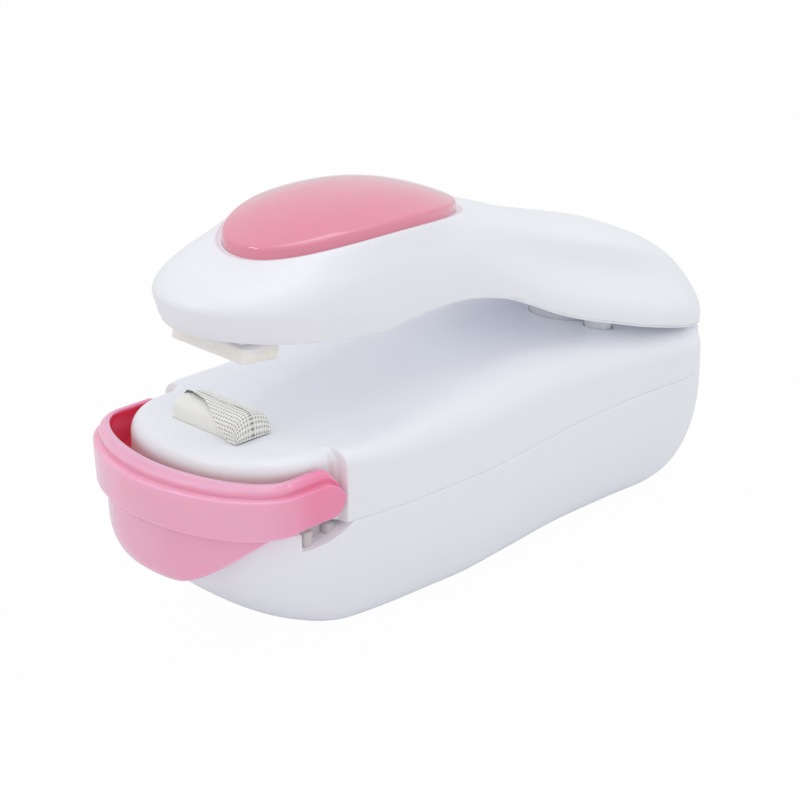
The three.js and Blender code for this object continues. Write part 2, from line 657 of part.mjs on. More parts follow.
function armUnderplate() {
  const outline = planOutline({
    nose: -48, rear: 35, noseCap: 8, rearCap: 3, width: () => 18, rearRound: 4,
  });
  const level = (rise) => ring(outline, (x, y) => plateLow(y) + rise);
  const plate = common(loft([level(0), level(1.4)]), armHollowSpace(GAP));
  const padTop = PAD.low + PAD.thick;
  const holder = block(-6, 6, PAD.front + 0.8, PAD.rear - 0.8, padTop + GAP, 36.6);
  const presser = bar('z', 2, 26.75 - SWITCH.travel, 30.6, SWITCH.x, SWITCH.y);
  const post = bar('z', 2.2, 28, 30.4, 0, SPRING.y);
  const holes = ARM_SCREWS.map(([x, y]) => bar('z', 1.3, 30, 45, x, y));
  return carve(fuse(plate, holder, presser, post), ...holes);
}

function pressurePad() {
  const { half, front, rear, low, thick } = PAD;
  const middle = (front + rear) / 2;
  const reach = (rear - front) / 2;
  const slab = (inset, z) => planOutline({
    nose: middle - reach + inset, rear: middle + reach - inset, noseCap: reach - inset, rearCap: reach - inset,
    width: () => half - inset, noseRound: 6, rearRound: 6,
  }).filter((p, i, all) => i === 0 || p.distanceTo(all[i - 1]) > 1e-6).map((p) => new THREE.Vector3(p.x, p.y, z));
  return loft([slab(0.25, low), slab(0, low + 0.25), slab(0, low + thick - 0.2), slab(0.2, low + thick)]);
}

function thumbPad() {
  const level = (share, z) => ring(ovalOutline(0, share), ovalLevel(z));
  const body = loft([level(0.94, -1.6), level(0.985, -1.4), level(1, -1), level(1, 0.9), level(0.985, 1.5),
    level(0.94, 1.95), level(0.8, 2.5), level(0.6, 3.05), level(0.38, 3.4), level(0.15, 3.6)]);
  const pins = OVAL_PINS.map((y) => bar('z', 1.3, -5.5, -1.2, 0, y, 14));
  return onOval(geometryOf(fuse(body, ...pins)));
}

// Shield below the guard's band: it turns in at the bottom, and its lower edge is a parabola.
function guardShield() {
  const { half, reach, bottom, turn, rise } = SHIELD;
  const depth = GUARD.low - bottom;
  const level = (wall, depthShare, z) => {
    const inset = wall + turn * (1 - (1 - depthShare ** 3.5) ** (1 / 3.5));
    return ring(planOutline({
      nose: PIVOT.y - reach + inset, rear: -20, noseCap: reach - inset, rearCap: 5, width: () => half - inset,
      noseRound: 2.05,
    }), () => z);
  };
  const shell = (wall, low, high) => loft([
    ...[1, 0.95, 0.85, 0.65, 0.35, 0].map((share) => level(wall, share, low - share * depth)),
    level(wall, 0, high),
  ]);
  const under = [];
  for (let x = -20; x <= 20; x += 2) under.push([x, bottom + 0.02 + rise * x * x]);
  under.push([20, -5], [-20, -5]);
  const cutter = new THREE.ExtrudeGeometry(
    new THREE.Shape(under.map(([x, z]) => new THREE.Vector2(x, z))), { depth: 80, bevelEnabled: false });
  return carve(
    shell(0, GUARD.low, GUARD.low + 0.7),
    shell(GUARD.wall - 0.1, GUARD.low + 1.2, GUARD.low + 8),
    cutter.rotateX(Math.PI / 2).translate(0, 20, 0),
    block(-30, 30, -41.2, 60, 0, 60),
    block(-30, 30, -46.1, 60, 0, 13.5),
  );
}

// Guard: a lip, a proud band and a shield, on two arms that end in round ears.
function guard() {
  const { half, reach, wall, round, low, crease, high } = GUARD;
  const plan = (inset, frontInset) => planOutline({
    nose: PIVOT.y - reach + frontInset, rear: 20, noseCap: reach - frontInset, rearCap: 5,
    width: () => half - inset, noseRound: round,
  });
  const level = (inset, frontInset, z) => ring(plan(inset, frontInset), () => z);
  const outer = loft([level(0.6, 1.3, low), level(0.25, 0.9, low + 0.4), level(0, 0, crease - 0.3),
    level(0.2, 0.3, crease), level(0.8, 1, crease + 0.25), level(0.95, 1.7, high - 0.45), level(1.3, 2.2, high)]);
  const inner = loft([level(wall + 0.6, wall + 1.2, 0), level(wall + 0.3, wall + 0.6, crease),
    level(wall + 0.8, wall + 1.8, high - 0.6), level(wall + 0.6, wall + 1.6, 40)]);
  const rear = block(-30, 30, PIVOT.y, 60, 0, 60);
  const band = carve(outer, inner, rear);
  const parts = [band, guardShield()];
  for (const side of [-1, 1]) {
    const [x0, x1] = side < 0 ? [-half - 0.1, -half + wall + 0.5] : [half - wall - 0.5, half + 0.1];
    parts.push(bar('x', 3.3, x0, x1, PIVOT.y, PIVOT.z, 28));
    const [s0, s1] = side < 0 ? [-half + 1, -14.2] : [14.2, half - 1];
    parts.push(bar('x', PIVOT.radius, Math.min(s0, s1), Math.max(s0, s1), PIVOT.y, PIVOT.z));
  }
  return fuse(...parts);
}

// Fasteners and hinge

function screw(length, headRadius = 2.1, shankRadius = 1) {
  return turned([[0, -length], [shankRadius * 0.5, -length], [shankRadius, -length + 0.8], [shankRadius, 0],
    [headRadius, 0], [headRadius, 0.7], [headRadius * 0.7, 1.3], [0, 1.45]], 16);
}

function screwUp(name, x, y, z, length, headRadius) {
  const mesh = piece(name, screw(length, headRadius), 'steel');
  mesh.rotation.x = Math.PI;
  mesh.position.set(x, y, z);
  return mesh;
}

function returnSpring() {
  const seat = deckHeight(SPRING.y) - 0.7 + GAP;
  const openEdge = HINGE.z + (plateLow(SPRING.y) - HINGE.z) + (HINGE.y - SPRING.y) * Math.tan(radians(OPEN_ANGLE));
  const height = openEdge - GAP - 0.35 - seat;
  const shape = coil({
    radius: SPRING.radius, wire: SPRING.wire, turns: SPRING.turns, height, label: 'return_spring',
  });
  return shape.translate(0, SPRING.y, seat);
}

// Assembly

const sealer = new THREE.Group();
sealer.name = 'mini_bag_sealer';

sealer.add(
  piece('base_lower_shell', baseLowerShell(), 'white'),
  piece('base_upper_shell', baseUpperShell(), 'white'),
  piece('battery_door', batteryDoor(), 'white'),
  ...batteryPieces(),
  piece('heater_block', heaterBlock(), 'ceramic'),
  piece('heating_wire', heatingWire(), 'steel'),
  piece('glass_cloth', glassCloth(), 'cloth'),
  piece('heater_terminal_left', heaterTerminal(-1), 'brass'),
  piece('heater_terminal_right', heaterTerminal(1), 'brass'),
  piece('heater_lead_left', heaterLead(-1, [[-12.6, 32, 20], [-12, 39.4, 17.6]]), 'lead'),
  piece('heater_lead_right', heaterLead(1, [[11.7, 25.6, 20]]), 'lead'),
  piece('switch_plunger', switchPlunger(), 'underside'),
  piece('switch_bridge_disc', switchBridge(), 'brass'),
  piece('switch_strip_battery', switchStrip(6.25, true), 'brass'),
  piece('switch_strip_heater', switchStrip(9.75, false), 'brass'),
  piece('hinge_pin', bar('x', HINGE.radius, -12.4, 12.4, HINGE.y, HINGE.z, 18), 'steel'),
  piece('return_spring', returnSpring(), 'steel'),
  piece('guard', guard(), 'guard'),
  screwUp('base_screw_front_left', ...FRONT_SCREWS[0], 12 - GAP, 10),
  screwUp('base_screw_front_right', ...FRONT_SCREWS[1], 12 - GAP, 10),
  screwUp('base_screw_rear', ...REAR_SCREW, 12 - GAP, 9.6),
);

// The arm turns about the hinge pin: this group carries all that moves with it.
const arm = new THREE.Group();
arm.name = 'arm';
arm.position.set(0, HINGE.y, HINGE.z);
arm.rotation.x = -radians(OPEN_ANGLE);
const closed = new THREE.Group();
closed.position.set(0, -HINGE.y, -HINGE.z);
closed.add(
  piece('arm_cover', armCover(), 'white'),
  piece('arm_underplate', armUnderplate(), 'underside'),
  piece('thumb_pad', thumbPad(), 'oval'),
  piece('pressure_pad', pressurePad(), 'silicone'),
  ...ARM_SCREWS.map(([x, y], i) => screwUp(`arm_screw_${['left', 'right', 'rear'][i]}`,
    x, y, plateLow(y) - GAP - 0.5, 6.8, 1.9)),
);
arm.add(closed);
sealer.add(arm);

export default sealer;
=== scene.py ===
"""Mini bag sealer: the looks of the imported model.

The classes hold their sizes in millimetres in the model's own frame: +Z up, the nose towards -Y, the hinge
towards +Y and X = 0 the plane of symmetry. A piece turns into metres when its mesh is made.
"""

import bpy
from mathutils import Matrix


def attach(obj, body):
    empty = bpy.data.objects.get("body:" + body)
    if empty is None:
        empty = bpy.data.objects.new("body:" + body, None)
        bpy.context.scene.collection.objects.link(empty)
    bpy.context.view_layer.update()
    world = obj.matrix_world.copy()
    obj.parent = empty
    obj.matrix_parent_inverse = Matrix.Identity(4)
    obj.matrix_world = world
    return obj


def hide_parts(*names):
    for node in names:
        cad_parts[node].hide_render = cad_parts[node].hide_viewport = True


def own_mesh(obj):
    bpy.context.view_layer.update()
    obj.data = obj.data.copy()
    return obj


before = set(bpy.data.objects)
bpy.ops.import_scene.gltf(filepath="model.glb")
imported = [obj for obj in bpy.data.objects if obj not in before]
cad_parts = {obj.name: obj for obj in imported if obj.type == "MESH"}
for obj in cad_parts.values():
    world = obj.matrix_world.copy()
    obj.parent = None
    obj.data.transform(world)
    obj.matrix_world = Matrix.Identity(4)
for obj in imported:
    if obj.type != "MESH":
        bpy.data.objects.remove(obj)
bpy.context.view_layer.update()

import logging
import math
from dataclasses import dataclass, field
from enum import Enum
from typing import Callable, Sequence

import bmesh
import bpy
import numpy as np
from mathutils import Vector

log = logging.getLogger("mini_bag_sealer")

METRES = 0.001  # in a millimetre
WELD = 1e-6  # metres within which two points of a mesh become one
SLIVER = 1e-7  # metres below which an edge is dissolved
CURVE_SHARE = 0.45  # of a side that the curve at its corner takes at most
OPEN_ANGLE = 6.2  # degrees from the arm as it is drawn to the arm as it stands open
HINGE_Y = 42.0
HINGE_Z = 28.2
REAR_Y = 51.25  # where both shells end at the rear
SPRING_Y = 31.5  # axis of the return spring, at X = 0
PLUNGER_X = 8.0
PLUNGER_Y = 31.0
THREAD_HEIGHT = "thread_height"  # numbers that the cloth's mesh carries for its finish
WIRE_TRACK = "wire_track"

Place = Callable[[np.ndarray], np.ndarray]
Triple = tuple[float, float, float]
Colour = Triple
Span = tuple[float, float]
Rows = tuple[Span, ...]


class Body(Enum):
    """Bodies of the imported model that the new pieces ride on."""

    BASE = "base"
    ARM = "arm"
    GUARD = "guard"
    DOOR = "battery_door"


class Slot(Enum):
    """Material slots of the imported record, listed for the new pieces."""

    WHITE_SHELL = "white_shell"
    WHITE_INNER = "white_inner"
    PINK_GUARD = "pink_guard"
    PINK_PAD = "pink_pad"
    SILICONE = "silicone_pad"
    HEATER = "heater_body"
    CLOTH = "woven_cloth"
    STEEL = "spring_steel"


class Cut(Enum):
    """Ways in which one solid acts on another."""

    AWAY = "DIFFERENCE"
    JOIN = "UNION"
    KEEP = "INTERSECT"


# Numbers and curves


def smooth_share(value: np.ndarray, low: float, high: float) -> np.ndarray:
    """Share of the way from low to high, eased at both ends.

    Args:
        value: Numbers to place between the two limits.
        low: Value at which the share is 0.
        high: Value at which the share is 1.

    Returns:
        Shares from 0 to 1.
    """
    share = np.clip((np.asarray(value, float) - low) / (high - low), 0, 1)
    return share * share * (3 - 2 * share)


def rounded_inset(size: float, share: np.ndarray, power: float) -> np.ndarray:
    """How far a rounded side stands in at a share of its height.

    Args:
        size: Inset at the foot.
        share: Share of the height, 0 at the foot and 1 at the top.
        power: Power of the superellipse.

    Returns:
        Insets, falling from size to 0.
    """
    return size * (1 - (1 - (1 - np.asarray(share, float)) ** power) ** (1 / power))


class Knots:
    """A smooth function of y through [y, value] knots that never overshoots them."""

    def __init__(self, *knots: Span) -> None:
        """Works out the slope at each knot.

        Args:
            knots: Pairs of y and value, in order of y.
        """
        self.at, self.value = (np.array(row, float) for row in zip(*knots))
        step = np.diff(self.at)
        slope = np.diff(self.value) / step
        inner = np.zeros(len(knots) - 2)
        for i in range(len(inner)):
            if slope[i] * slope[i + 1] > 0:
                before = 2 * step[i + 1] + step[i]
                after = step[i + 1] + 2 * step[i]
                inner[i] = (before + after) / (before / slope[i] + after / slope[i + 1])
        self.tangent = np.concatenate([[slope[0]], inner, [slope[-1]]])

    def __call__(self, y: np.ndarray) -> np.ndarray:
        """Values of the curve, held level beyond its ends.

        Args:
            y: Places along Y.

        Returns:
            One value for each place.
        """
        y = np.clip(np.asarray(y, float), self.at[0], self.at[-1])
        i = np.clip(np.searchsorted(self.at, y, side="right") - 1, 0, len(self.at) - 2)
        step = self.at[i + 1] - self.at[i]
        t = (y - self.at[i]) / step
        rise = (t**3 - 2 * t**2 + t) * self.tangent[i] + (t**3 - t**2) * self.tangent[i + 1]
        ends = self.value[i] * (2 * t**3 - 3 * t**2 + 1) + self.value[i + 1] * (3 * t**2 - 2 * t**3)
        return ends + step * rise


@dataclass(frozen=True)
class Stations:
    """Places of the points along half an outline: a region (nose cap, run, rear cap) and a share of it."""

    region: np.ndarray
    share: np.ndarray

    @classmethod
    def spread(
        cls,
        nose: int,
        run: int,
        rear: int,
        nose_round: float = 2.0,
        rear_round: float = 2.5,
        nose_extra: Sequence[float] = (),
        run_extra: Sequence[float] = (),
    ) -> "Stations":
        """Spreads stations evenly round the caps and along the run.

        Args:
            nose: Steps round the nose cap.
            run: Steps along the run.
            rear: Steps round the rear cap.
            nose_round: Power of the nose cap's superellipse.
            rear_round: Power of the rear cap's superellipse.
            nose_extra: More shares of the nose cap.
            run_extra: More shares of the run.

        Returns:
            The stations from the tip of the nose to the tip of the rear.
        """
        turn = np.linspace(0, math.pi / 2, nose + 1)[:-1]
        nose_shares = np.union1d(1 - np.cos(turn) ** (2 / nose_round), np.array(nose_extra, float))
        run_shares = np.union1d(np.linspace(0, 1, run + 1), np.array(run_extra, float))
        turn = np.linspace(0, math.pi / 2, rear + 1)[1:]
        rear_shares = np.sin(turn) ** (2 / rear_round)
        rear_shares[-1] = 1.0
        shares = [nose_shares, run_shares, rear_shares]
        region = np.concatenate([np.full(len(s), k) for k, s in enumerate(shares)])
        return cls(region, np.concatenate(shares))

    def outline(
        self,
        nose: np.ndarray | float,
        rear: np.ndarray | float,
        nose_cap: np.ndarray | float,
        rear_cap: np.ndarray | float,
        width: Callable[[np.ndarray], np.ndarray],
        nose_round: float = 2.0,
        rear_round: float = 2.0,
    ) -> np.ndarray:
        """Half of a plan outline, from the tip of the nose up the +X side to the tip of the rear.

        Args:
            nose: Y of the nose's tip.
            rear: Y of the rear's tip.
            nose_cap: Length over which the nose closes.
            rear_cap: Length over which the rear closes.
            width: Half-width as a function of y.
            nose_round: Power of the nose cap's superellipse.
            rear_round: Power of the rear cap's superellipse.

        Returns:
            Rows of x and y.
        """
        s = self.share
        run = nose + nose_cap + (rear - rear_cap - nose - nose_cap) * s
        y = np.select(
            [self.region == 0, self.region == 1], [nose + nose_cap * s, run], rear - rear_cap * (1 - s)
        )
        close_nose = (1 - (1 - s) ** nose_round) ** (1 / nose_round)
        close_rear = (1 - s**rear_round) ** (1 / rear_round)
        closing = np.select([self.region == 0, self.region == 1], [close_nose, np.ones_like(s)], close_rear)
        x = width(y) * closing
        x[0] = x[-1] = 0
        return np.stack([x, y], axis=1)


def run_along(points: np.ndarray) -> np.ndarray:
    """Length of a line up to each of its points."""
    return np.concatenate([[0], np.cumsum(np.linalg.norm(np.diff(points, axis=0), axis=1))])


def lifted(half: np.ndarray, z: np.ndarray | float) -> np.ndarray:
    """Whole ring in space from half an outline.

    Args:
        half: Rows of x and y from nose to rear.
        z: Height of each row, or one for all.

    Returns:
        Rows of x, y and z: up the +X side and back down the -X side.
    """
    points = np.column_stack([half, np.broadcast_to(z, len(half))])
    back = points[-2:0:-1] * [-1, 1, 1]
    return np.concatenate([points, back])


def opened(points: np.ndarray) -> np.ndarray:
    """Turns points of the arm as it is drawn to where the open arm stands.

    Args:
        points: Rows of x, y and z.

    Returns:
        The rows, turned about the hinge.
    """
    turn = -math.radians(OPEN_ANGLE)
    y, z = points[:, 1] - HINGE_Y, points[:, 2] - HINGE_Z
    turned_y = HINGE_Y + y * math.cos(turn) - z * math.sin(turn)
    turned_z = HINGE_Z + y * math.sin(turn) + z * math.cos(turn)
    return np.stack([points[:, 0], turned_y, turned_z], axis=1)


def rounded_path(corners: Sequence[Sequence[float]], radii: Sequence[float], steps: int = 5) -> np.ndarray:
    """Closed path whose corners are replaced by short curves.

    Args:
        corners: Corner points, each a row of numbers.
        radii: How far before and after each corner its curve starts and ends.
        steps: Steps of each curve.

    Returns:
        Rows of points along the closed path.
    """
    corners = np.array(corners, float)
    path = []
    for i, corner in enumerate(corners):
        before = corners[i - 1] - corner
        after = corners[(i + 1) % len(corners)] - corner
        reach = min(radii[i], CURVE_SHARE * np.linalg.norm(before), CURVE_SHARE * np.linalg.norm(after))
        start = corner + before / np.linalg.norm(before) * reach
        end = corner + after / np.linalg.norm(after) * reach
        for t in np.linspace(0, 1, steps + 1):
            path.append((1 - t) ** 2 * start + 2 * t * (1 - t) * corner + t**2 * end)
    return np.array(path)


# Meshes


class Patchwork:
    """Patches of points in millimetres that meet along their edges and make one mesh."""

    def __init__(self) -> None:
        """Starts with no patch."""
        self.points: list[np.ndarray] = []
        self.faces: list[tuple[int, ...]] = []
        self.count = 0

    def _keep(self, points: np.ndarray) -> int:
        """Stores points.

        Args:
            points: Rows of x, y and z.

        Returns:
            Number of the first of them.
        """
        first = self.count
        self.points.append(points)
        self.count += len(points)
        return first

    def grid(self, rows: np.ndarray, closed: bool = False) -> "Patchwork":
        """Adds a sheet of quads.

        Args:
            rows: Points by row and column.
            closed: True where each row is a loop.

        Returns:
            The patchwork, so that calls can follow each other.
        """
        count, width = rows.shape[:2]
        first = self._keep(rows.reshape(-1, 3))
        for k in range(count - 1):
            for i in range(width if closed else width - 1):
                a = first + k * width + i
                b = first + k * width + (i + 1) % width
                self.faces.append((a, b, b + width, a + width))
        return self

    def cap(self, loop: np.ndarray, up: bool) -> "Patchwork":
        """Closes a loop that is a mirror image of itself, straight across X.

        Args:
            loop: Points of the loop as lifted() gives them.
            up: True where the faces look up.

        Returns:
            The patchwork, so that calls can follow each other.
        """
        first = self._keep(loop)
        count = len(loop)
        for i in range(count // 2):
            face = (i, i + 1, (count - i - 1) % count, (count - i) % count)
            face = tuple(dict.fromkeys(first + k for k in face))
            self.faces.append(face if up else face[::-1])
        return self

    def across(self, half: np.ndarray, height: Callable, steps: int) -> "Patchwork":
        """Fills the plan between a half outline and its mirror image with a grid.

        Args:
            half: Rows of x and y.
            height: Height as a function of x and y.
            steps: Steps across each half.

        Returns:
            The patchwork, so that calls can follow each other.
        """
        share = np.linspace(-1, 1, 2 * steps + 1)
        x = half[:, :1] * share
        y = np.broadcast_to(half[:, 1:], x.shape)
        rows = np.stack([x, y, height(x.ravel(), y.ravel()).reshape(x.shape)], axis=2)
        return self.grid(rows)

    def piece(self, name: str, place: Place | None = None) -> bpy.types.Object:
        """Makes the welded mesh.

        Args:
            name: Name of the object.
            place: Moves the points to where the piece stands, or None.

        Returns:
            The new object.
        """
        points = np.concatenate(self.points)
        if place:
            points = place(points)
        mesh = bpy.data.meshes.new(name)
        mesh.from_pydata((points * METRES).tolist(), [], self.faces)
        shape = bmesh.new()
        shape.from_mesh(mesh)
        bmesh.ops.remove_doubles(shape, verts=shape.verts, dist=WELD)
        bmesh.ops.dissolve_degenerate(shape, edges=shape.edges, dist=SLIVER)
        bmesh.ops.recalc_face_normals(shape, faces=shape.faces)
        shape.to_mesh(mesh)
        shape.free()
        made = bpy.data.objects.new(name, mesh)
        bpy.context.scene.collection.objects.link(made)
        return made


def lofted(rings: Sequence[np.ndarray]) -> Patchwork:
    """Closed solid through mirrored rings, capped straight across X at both ends."""
    return Patchwork().grid(np.array(rings), closed=True).cap(rings[0], up=False).cap(rings[-1], up=True)


def swept(sections: np.ndarray) -> Patchwork:
    """Closed solid through closed sections along a path, with a flat face at each end.

    Args:
        sections: Points by section and place round it.

    Returns:
        The patchwork.
    """
    made = Patchwork().grid(sections, closed=True)
    width = sections.shape[1]
    last = (len(sections) - 1) * width
    made.faces.append(tuple(reversed(range(width))))
    made.faces.append(tuple(range(last, last + width)))
    return made


def turned(profile: Sequence[Span], sides: int = 40) -> np.ndarray:
    """Rings of a solid of revolution about +Z.

    Args:
        profile: Pairs of radius and height from the bottom to the top.
        sides: Points round the axis.

    Returns:
        Points by ring and side, about the origin.
    """
    angle = np.linspace(0, 2 * math.pi, sides, endpoint=False)
    circle = np.stack([np.cos(angle), np.sin(angle)], axis=1)
    return np.array([np.column_stack([circle * r, np.full(sides, z)]) for r, z in profile])


def bar(
    axis: str, radius: float, start: float, end: float, first: float, second: float, sides: int = 40
) -> Patchwork:
    """Round bar along an axis.

    Args:
        axis: Letter of the axis.
        radius: Radius.
        start: Coordinate along the axis where it starts.
        end: Coordinate along the axis where it ends.
        first: First of the other two coordinates.
        second: Second of the other two coordinates.
        sides: Points round the axis.

    Returns:
        The patchwork.
    """
    rings = turned([(radius, start), (radius, end)], sides)
    order = {"x": [2, 0, 1], "y": [0, 2, 1], "z": [0, 1, 2]}[axis]
    shift = {"x": [0, first, second], "y": [first, 0, second], "z": [first, second, 0]}[axis]
    return swept(rings[:, :, order] + shift)


def boxed(low: Sequence[float], high: Sequence[float], edge: float = 0.0) -> Patchwork:
    """Block between two corners, with its upright edges rounded.

    Args:
        low: Lowest corner.
        high: Highest corner.
        edge: Rounding of the upright edges.

    Returns:
        The patchwork.
    """
    corners = [(low[0], low[1]), (high[0], low[1]), (high[0], high[1]), (low[0], high[1])]
    loop = rounded_path(corners, [edge] * 4, 6) if edge else np.array(corners, float)
    levels = [np.column_stack([loop, np.full(len(loop), z)]) for z in (low[2], high[2])]
    return swept(np.array(levels))


def tube(path: np.ndarray, radius: float, sides: int) -> Patchwork:
    """Round tube along a path.

    Args:
        path: Points of its centre line.
        radius: Radius.
        sides: Points round it.

    Returns:
        The patchwork.
    """
    along = np.gradient(path, axis=0)
    along /= np.linalg.norm(along, axis=1)[:, None]
    side = np.cross(along, [0.0, 1.0, 0.0])
    side /= np.linalg.norm(side, axis=1)[:, None]
    up = np.cross(side, along)
    angle = np.linspace(0, 2 * math.pi, sides, endpoint=False)
    ring = np.cos(angle)[:, None, None] * side + np.sin(angle)[:, None, None] * up
    return swept(path[:, None, :] + radius * ring.transpose(1, 0, 2))


def combined(target: bpy.types.Object, how: Cut, *tools: bpy.types.Object) -> bpy.types.Object:
    """Cuts, joins or intersects a solid with others, which are used up.

    Args:
        target: Solid that stays.
        how: What the tools do to it.
        tools: Solids that act on it.

    Returns:
        The target.
    """
    for tool in tools:
        change = target.modifiers.new("cut", "BOOLEAN")
        change.operation = how.value
        change.solver = "MANIFOLD"
        change.object = tool
    graph = bpy.context.evaluated_depsgraph_get()
    made = bpy.data.meshes.new_from_object(target.evaluated_get(graph))
    made.name = target.data.name
    target.modifiers.clear()
    old, target.data = target.data, made
    bpy.data.meshes.remove(old)
    for tool in tools:
        bpy.data.objects.remove(tool)
    return target


def smoothed(made: bpy.types.Object, limit: float = 32) -> bpy.types.Object:
    """Shades a piece smooth, apart from its sharp edges.

    Args:
        made: Piece to shade.
        limit: Angle in degrees from which an edge counts as sharp.

    Returns:
        The piece.
    """
    shape = bmesh.new()
    shape.from_mesh(made.data)
    for face in shape.faces:
        face.smooth = True
    for edge in shape.edges:
        edge.smooth = len(edge.link_faces) == 2 and edge.calc_face_angle(0) < math.radians(limit)
    shape.to_mesh(made.data)
    shape.free()
    weigh = made.modifiers.new("even_shading", "WEIGHTED_NORMAL")
    weigh.keep_sharp = True
    return made


# Shader graphs


class Wire:
    """A socket of a shader graph that takes part in arithmetic."""

    def __init__(self, graph: "Graph", socket: bpy.types.NodeSocket) -> None:
        """Remembers the graph and the socket."""
        self.graph = graph
        self.socket = socket

    def _math(self, operation: str, *values: "Wire | float") -> "Wire":
        """Adds one Math node and gives its result."""
        return self.graph.add("ShaderNodeMath", {"operation": operation}, dict(enumerate(values))).out(0)

    def __add__(self, other: "Wire | float") -> "Wire":
        """Sum."""
        return self._math("ADD", self, other)

    def __radd__(self, other: float) -> "Wire":
        """Sum."""
        return self._math("ADD", other, self)

    def __sub__(self, other: "Wire | float") -> "Wire":
        """Difference."""
        return self._math("SUBTRACT", self, other)

    def __rsub__(self, other: float) -> "Wire":
        """Difference."""
        return self._math("SUBTRACT", other, self)

    def __mul__(self, other: "Wire | float") -> "Wire":
        """Product."""
        return self._math("MULTIPLY", self, other)

    def __rmul__(self, other: float) -> "Wire":
        """Product."""
        return self._math("MULTIPLY", other, self)

    def __pow__(self, power: float) -> "Wire":
        """Power."""
        return self._math("POWER", self, power)

    def __rpow__(self, base: float) -> "Wire":
        """Power."""
        return self._math("POWER", base, self)

    def __abs__(self) -> "Wire":
        """Size without its sign."""
        return self._math("ABSOLUTE", self)

    def larger(self, other: "Wire | float") -> "Wire":
        """The larger of two numbers."""
        return self._math("MAXIMUM", self, other)

    def between(self, low: float, high: float) -> "Wire":
        """Share of the way from low to high, eased and held to 0 to 1.

        Args:
            low: Value at which the share is 0.
            high: Value at which the share is 1.

        Returns:
            The share.
        """
        settings = {"interpolation_type": "SMOOTHSTEP"}
        sockets = {"Value": self, "From Min": low, "From Max": high}
        return self.graph.add("ShaderNodeMapRange", settings, sockets).out("Result")


class Made:
    """A node of a shader graph whose outputs are read by name or number."""

    def __init__(self, graph: "Graph", node: bpy.types.Node) -> None:
        """Remembers the graph and the node."""
        self.graph = graph
        self.node = node

    def out(self, name: str | int) -> Wire:
        """One of the node's outputs."""
        return Wire(self.graph, self.node.outputs[name])


class Graph:
    """The node graph of a new material or world.

    The sockets of a Mix node that hold colours have the same names as those that hold numbers, so they go
    by their places here.
    """

    MIX_SHARE = 0
    MIX_FIRST = 6
    MIX_SECOND = 7
    MIXED = 2

    def __init__(self, owner: bpy.types.Material | bpy.types.World) -> None:
        """Clears the graph.

        Args:
            owner: Material or world that the graph belongs to.
        """
        self.owner = owner
        owner.use_nodes = True
        self.tree = owner.node_tree
        self.tree.nodes.clear()

    def add(self, kind: str, settings: dict[str, object] | None = None, sockets: dict | None = None) -> Made:
        """Adds a node.

        Args:
            kind: Type of the node.
            settings: Properties of the node, set first.
            sockets: Values or wires for its inputs, by name or number.

        Returns:
            The new node.
        """
        node = self.tree.nodes.new(kind)
        for key, value in (settings or {}).items():
            setattr(node, key, value)
        for key, value in (sockets or {}).items():
            if isinstance(value, Wire):
                self.tree.links.new(value.socket, node.inputs[key])
            else:
                node.inputs[key].default_value = value
        return Made(self, node)

    def mix(self, first: Wire | Colour, second: Wire | Colour, share: Wire | float) -> Wire:
        """Colour between two colours.

        Args:
            first: Colour at share 0.
            second: Colour at share 1.
            share: How much of the second colour shows.

        Returns:
            The mixed colour.
        """
        first, second = (colour if isinstance(colour, Wire) else (*colour, 1) for colour in (first, second))
        sockets = {self.MIX_SHARE: share, self.MIX_FIRST: first, self.MIX_SECOND: second}
        return self.add("ShaderNodeMix", {"data_type": "RGBA"}, sockets).out(self.MIXED)

    def noise(self, size: float, detail: float = 2.0, stretch: Triple = (1, 1, 1)) -> Wire:
        """Cloudy pattern fixed to the piece.

        Args:
            size: Size of its features in millimetres.
            detail: Number of finer layers.
            stretch: How much longer the features are along each axis.

        Returns:
            Values about 0.5.
        """
        place = self.add("ShaderNodeTexCoord").out("Object")
        scale = tuple(1 / s for s in stretch)
        spread = self.add("ShaderNodeMapping", {}, {"Vector": place, "Scale": scale}).out("Vector")
        sockets = {"Vector": spread, "Scale": 1 / (size * METRES), "Detail": detail}
        return self.add("ShaderNodeTexNoise", {}, sockets).out(0)

    def bump(self, height: Wire, depth: float, below: Wire | None = None) -> Wire:
        """Normal of a rough surface.

        Args:
            height: Height from 0 to 1.
            depth: Height of a full step in millimetres.
            below: Normal of a coarser relief, or None.

        Returns:
            The normal.
        """
        sockets = {"Height": height, "Distance": depth * METRES}
        if below:
            sockets["Normal"] = below
        return self.add("ShaderNodeBump", {}, sockets).out("Normal")

    def attribute(self, name: str) -> Wire:
        """Numbers that a mesh carries for each point."""
        return self.add("ShaderNodeAttribute", {"attribute_name": name}).out("Fac")

    def surface(self, **sockets: object) -> bpy.types.Material:
        """Ends the graph in a Principled surface.

        Args:
            sockets: Inputs of the shader, with underscores for spaces.

        Returns:
            The material.
        """
        named = {key.replace("_", " "): value for key, value in sockets.items()}
        shader = self.add("ShaderNodeBsdfPrincipled", {"subsurface_method": "RANDOM_WALK"}, named)
        self.add("ShaderNodeOutputMaterial", {}, {"Surface": shader.out("BSDF")})
        return self.owner


# Finishes


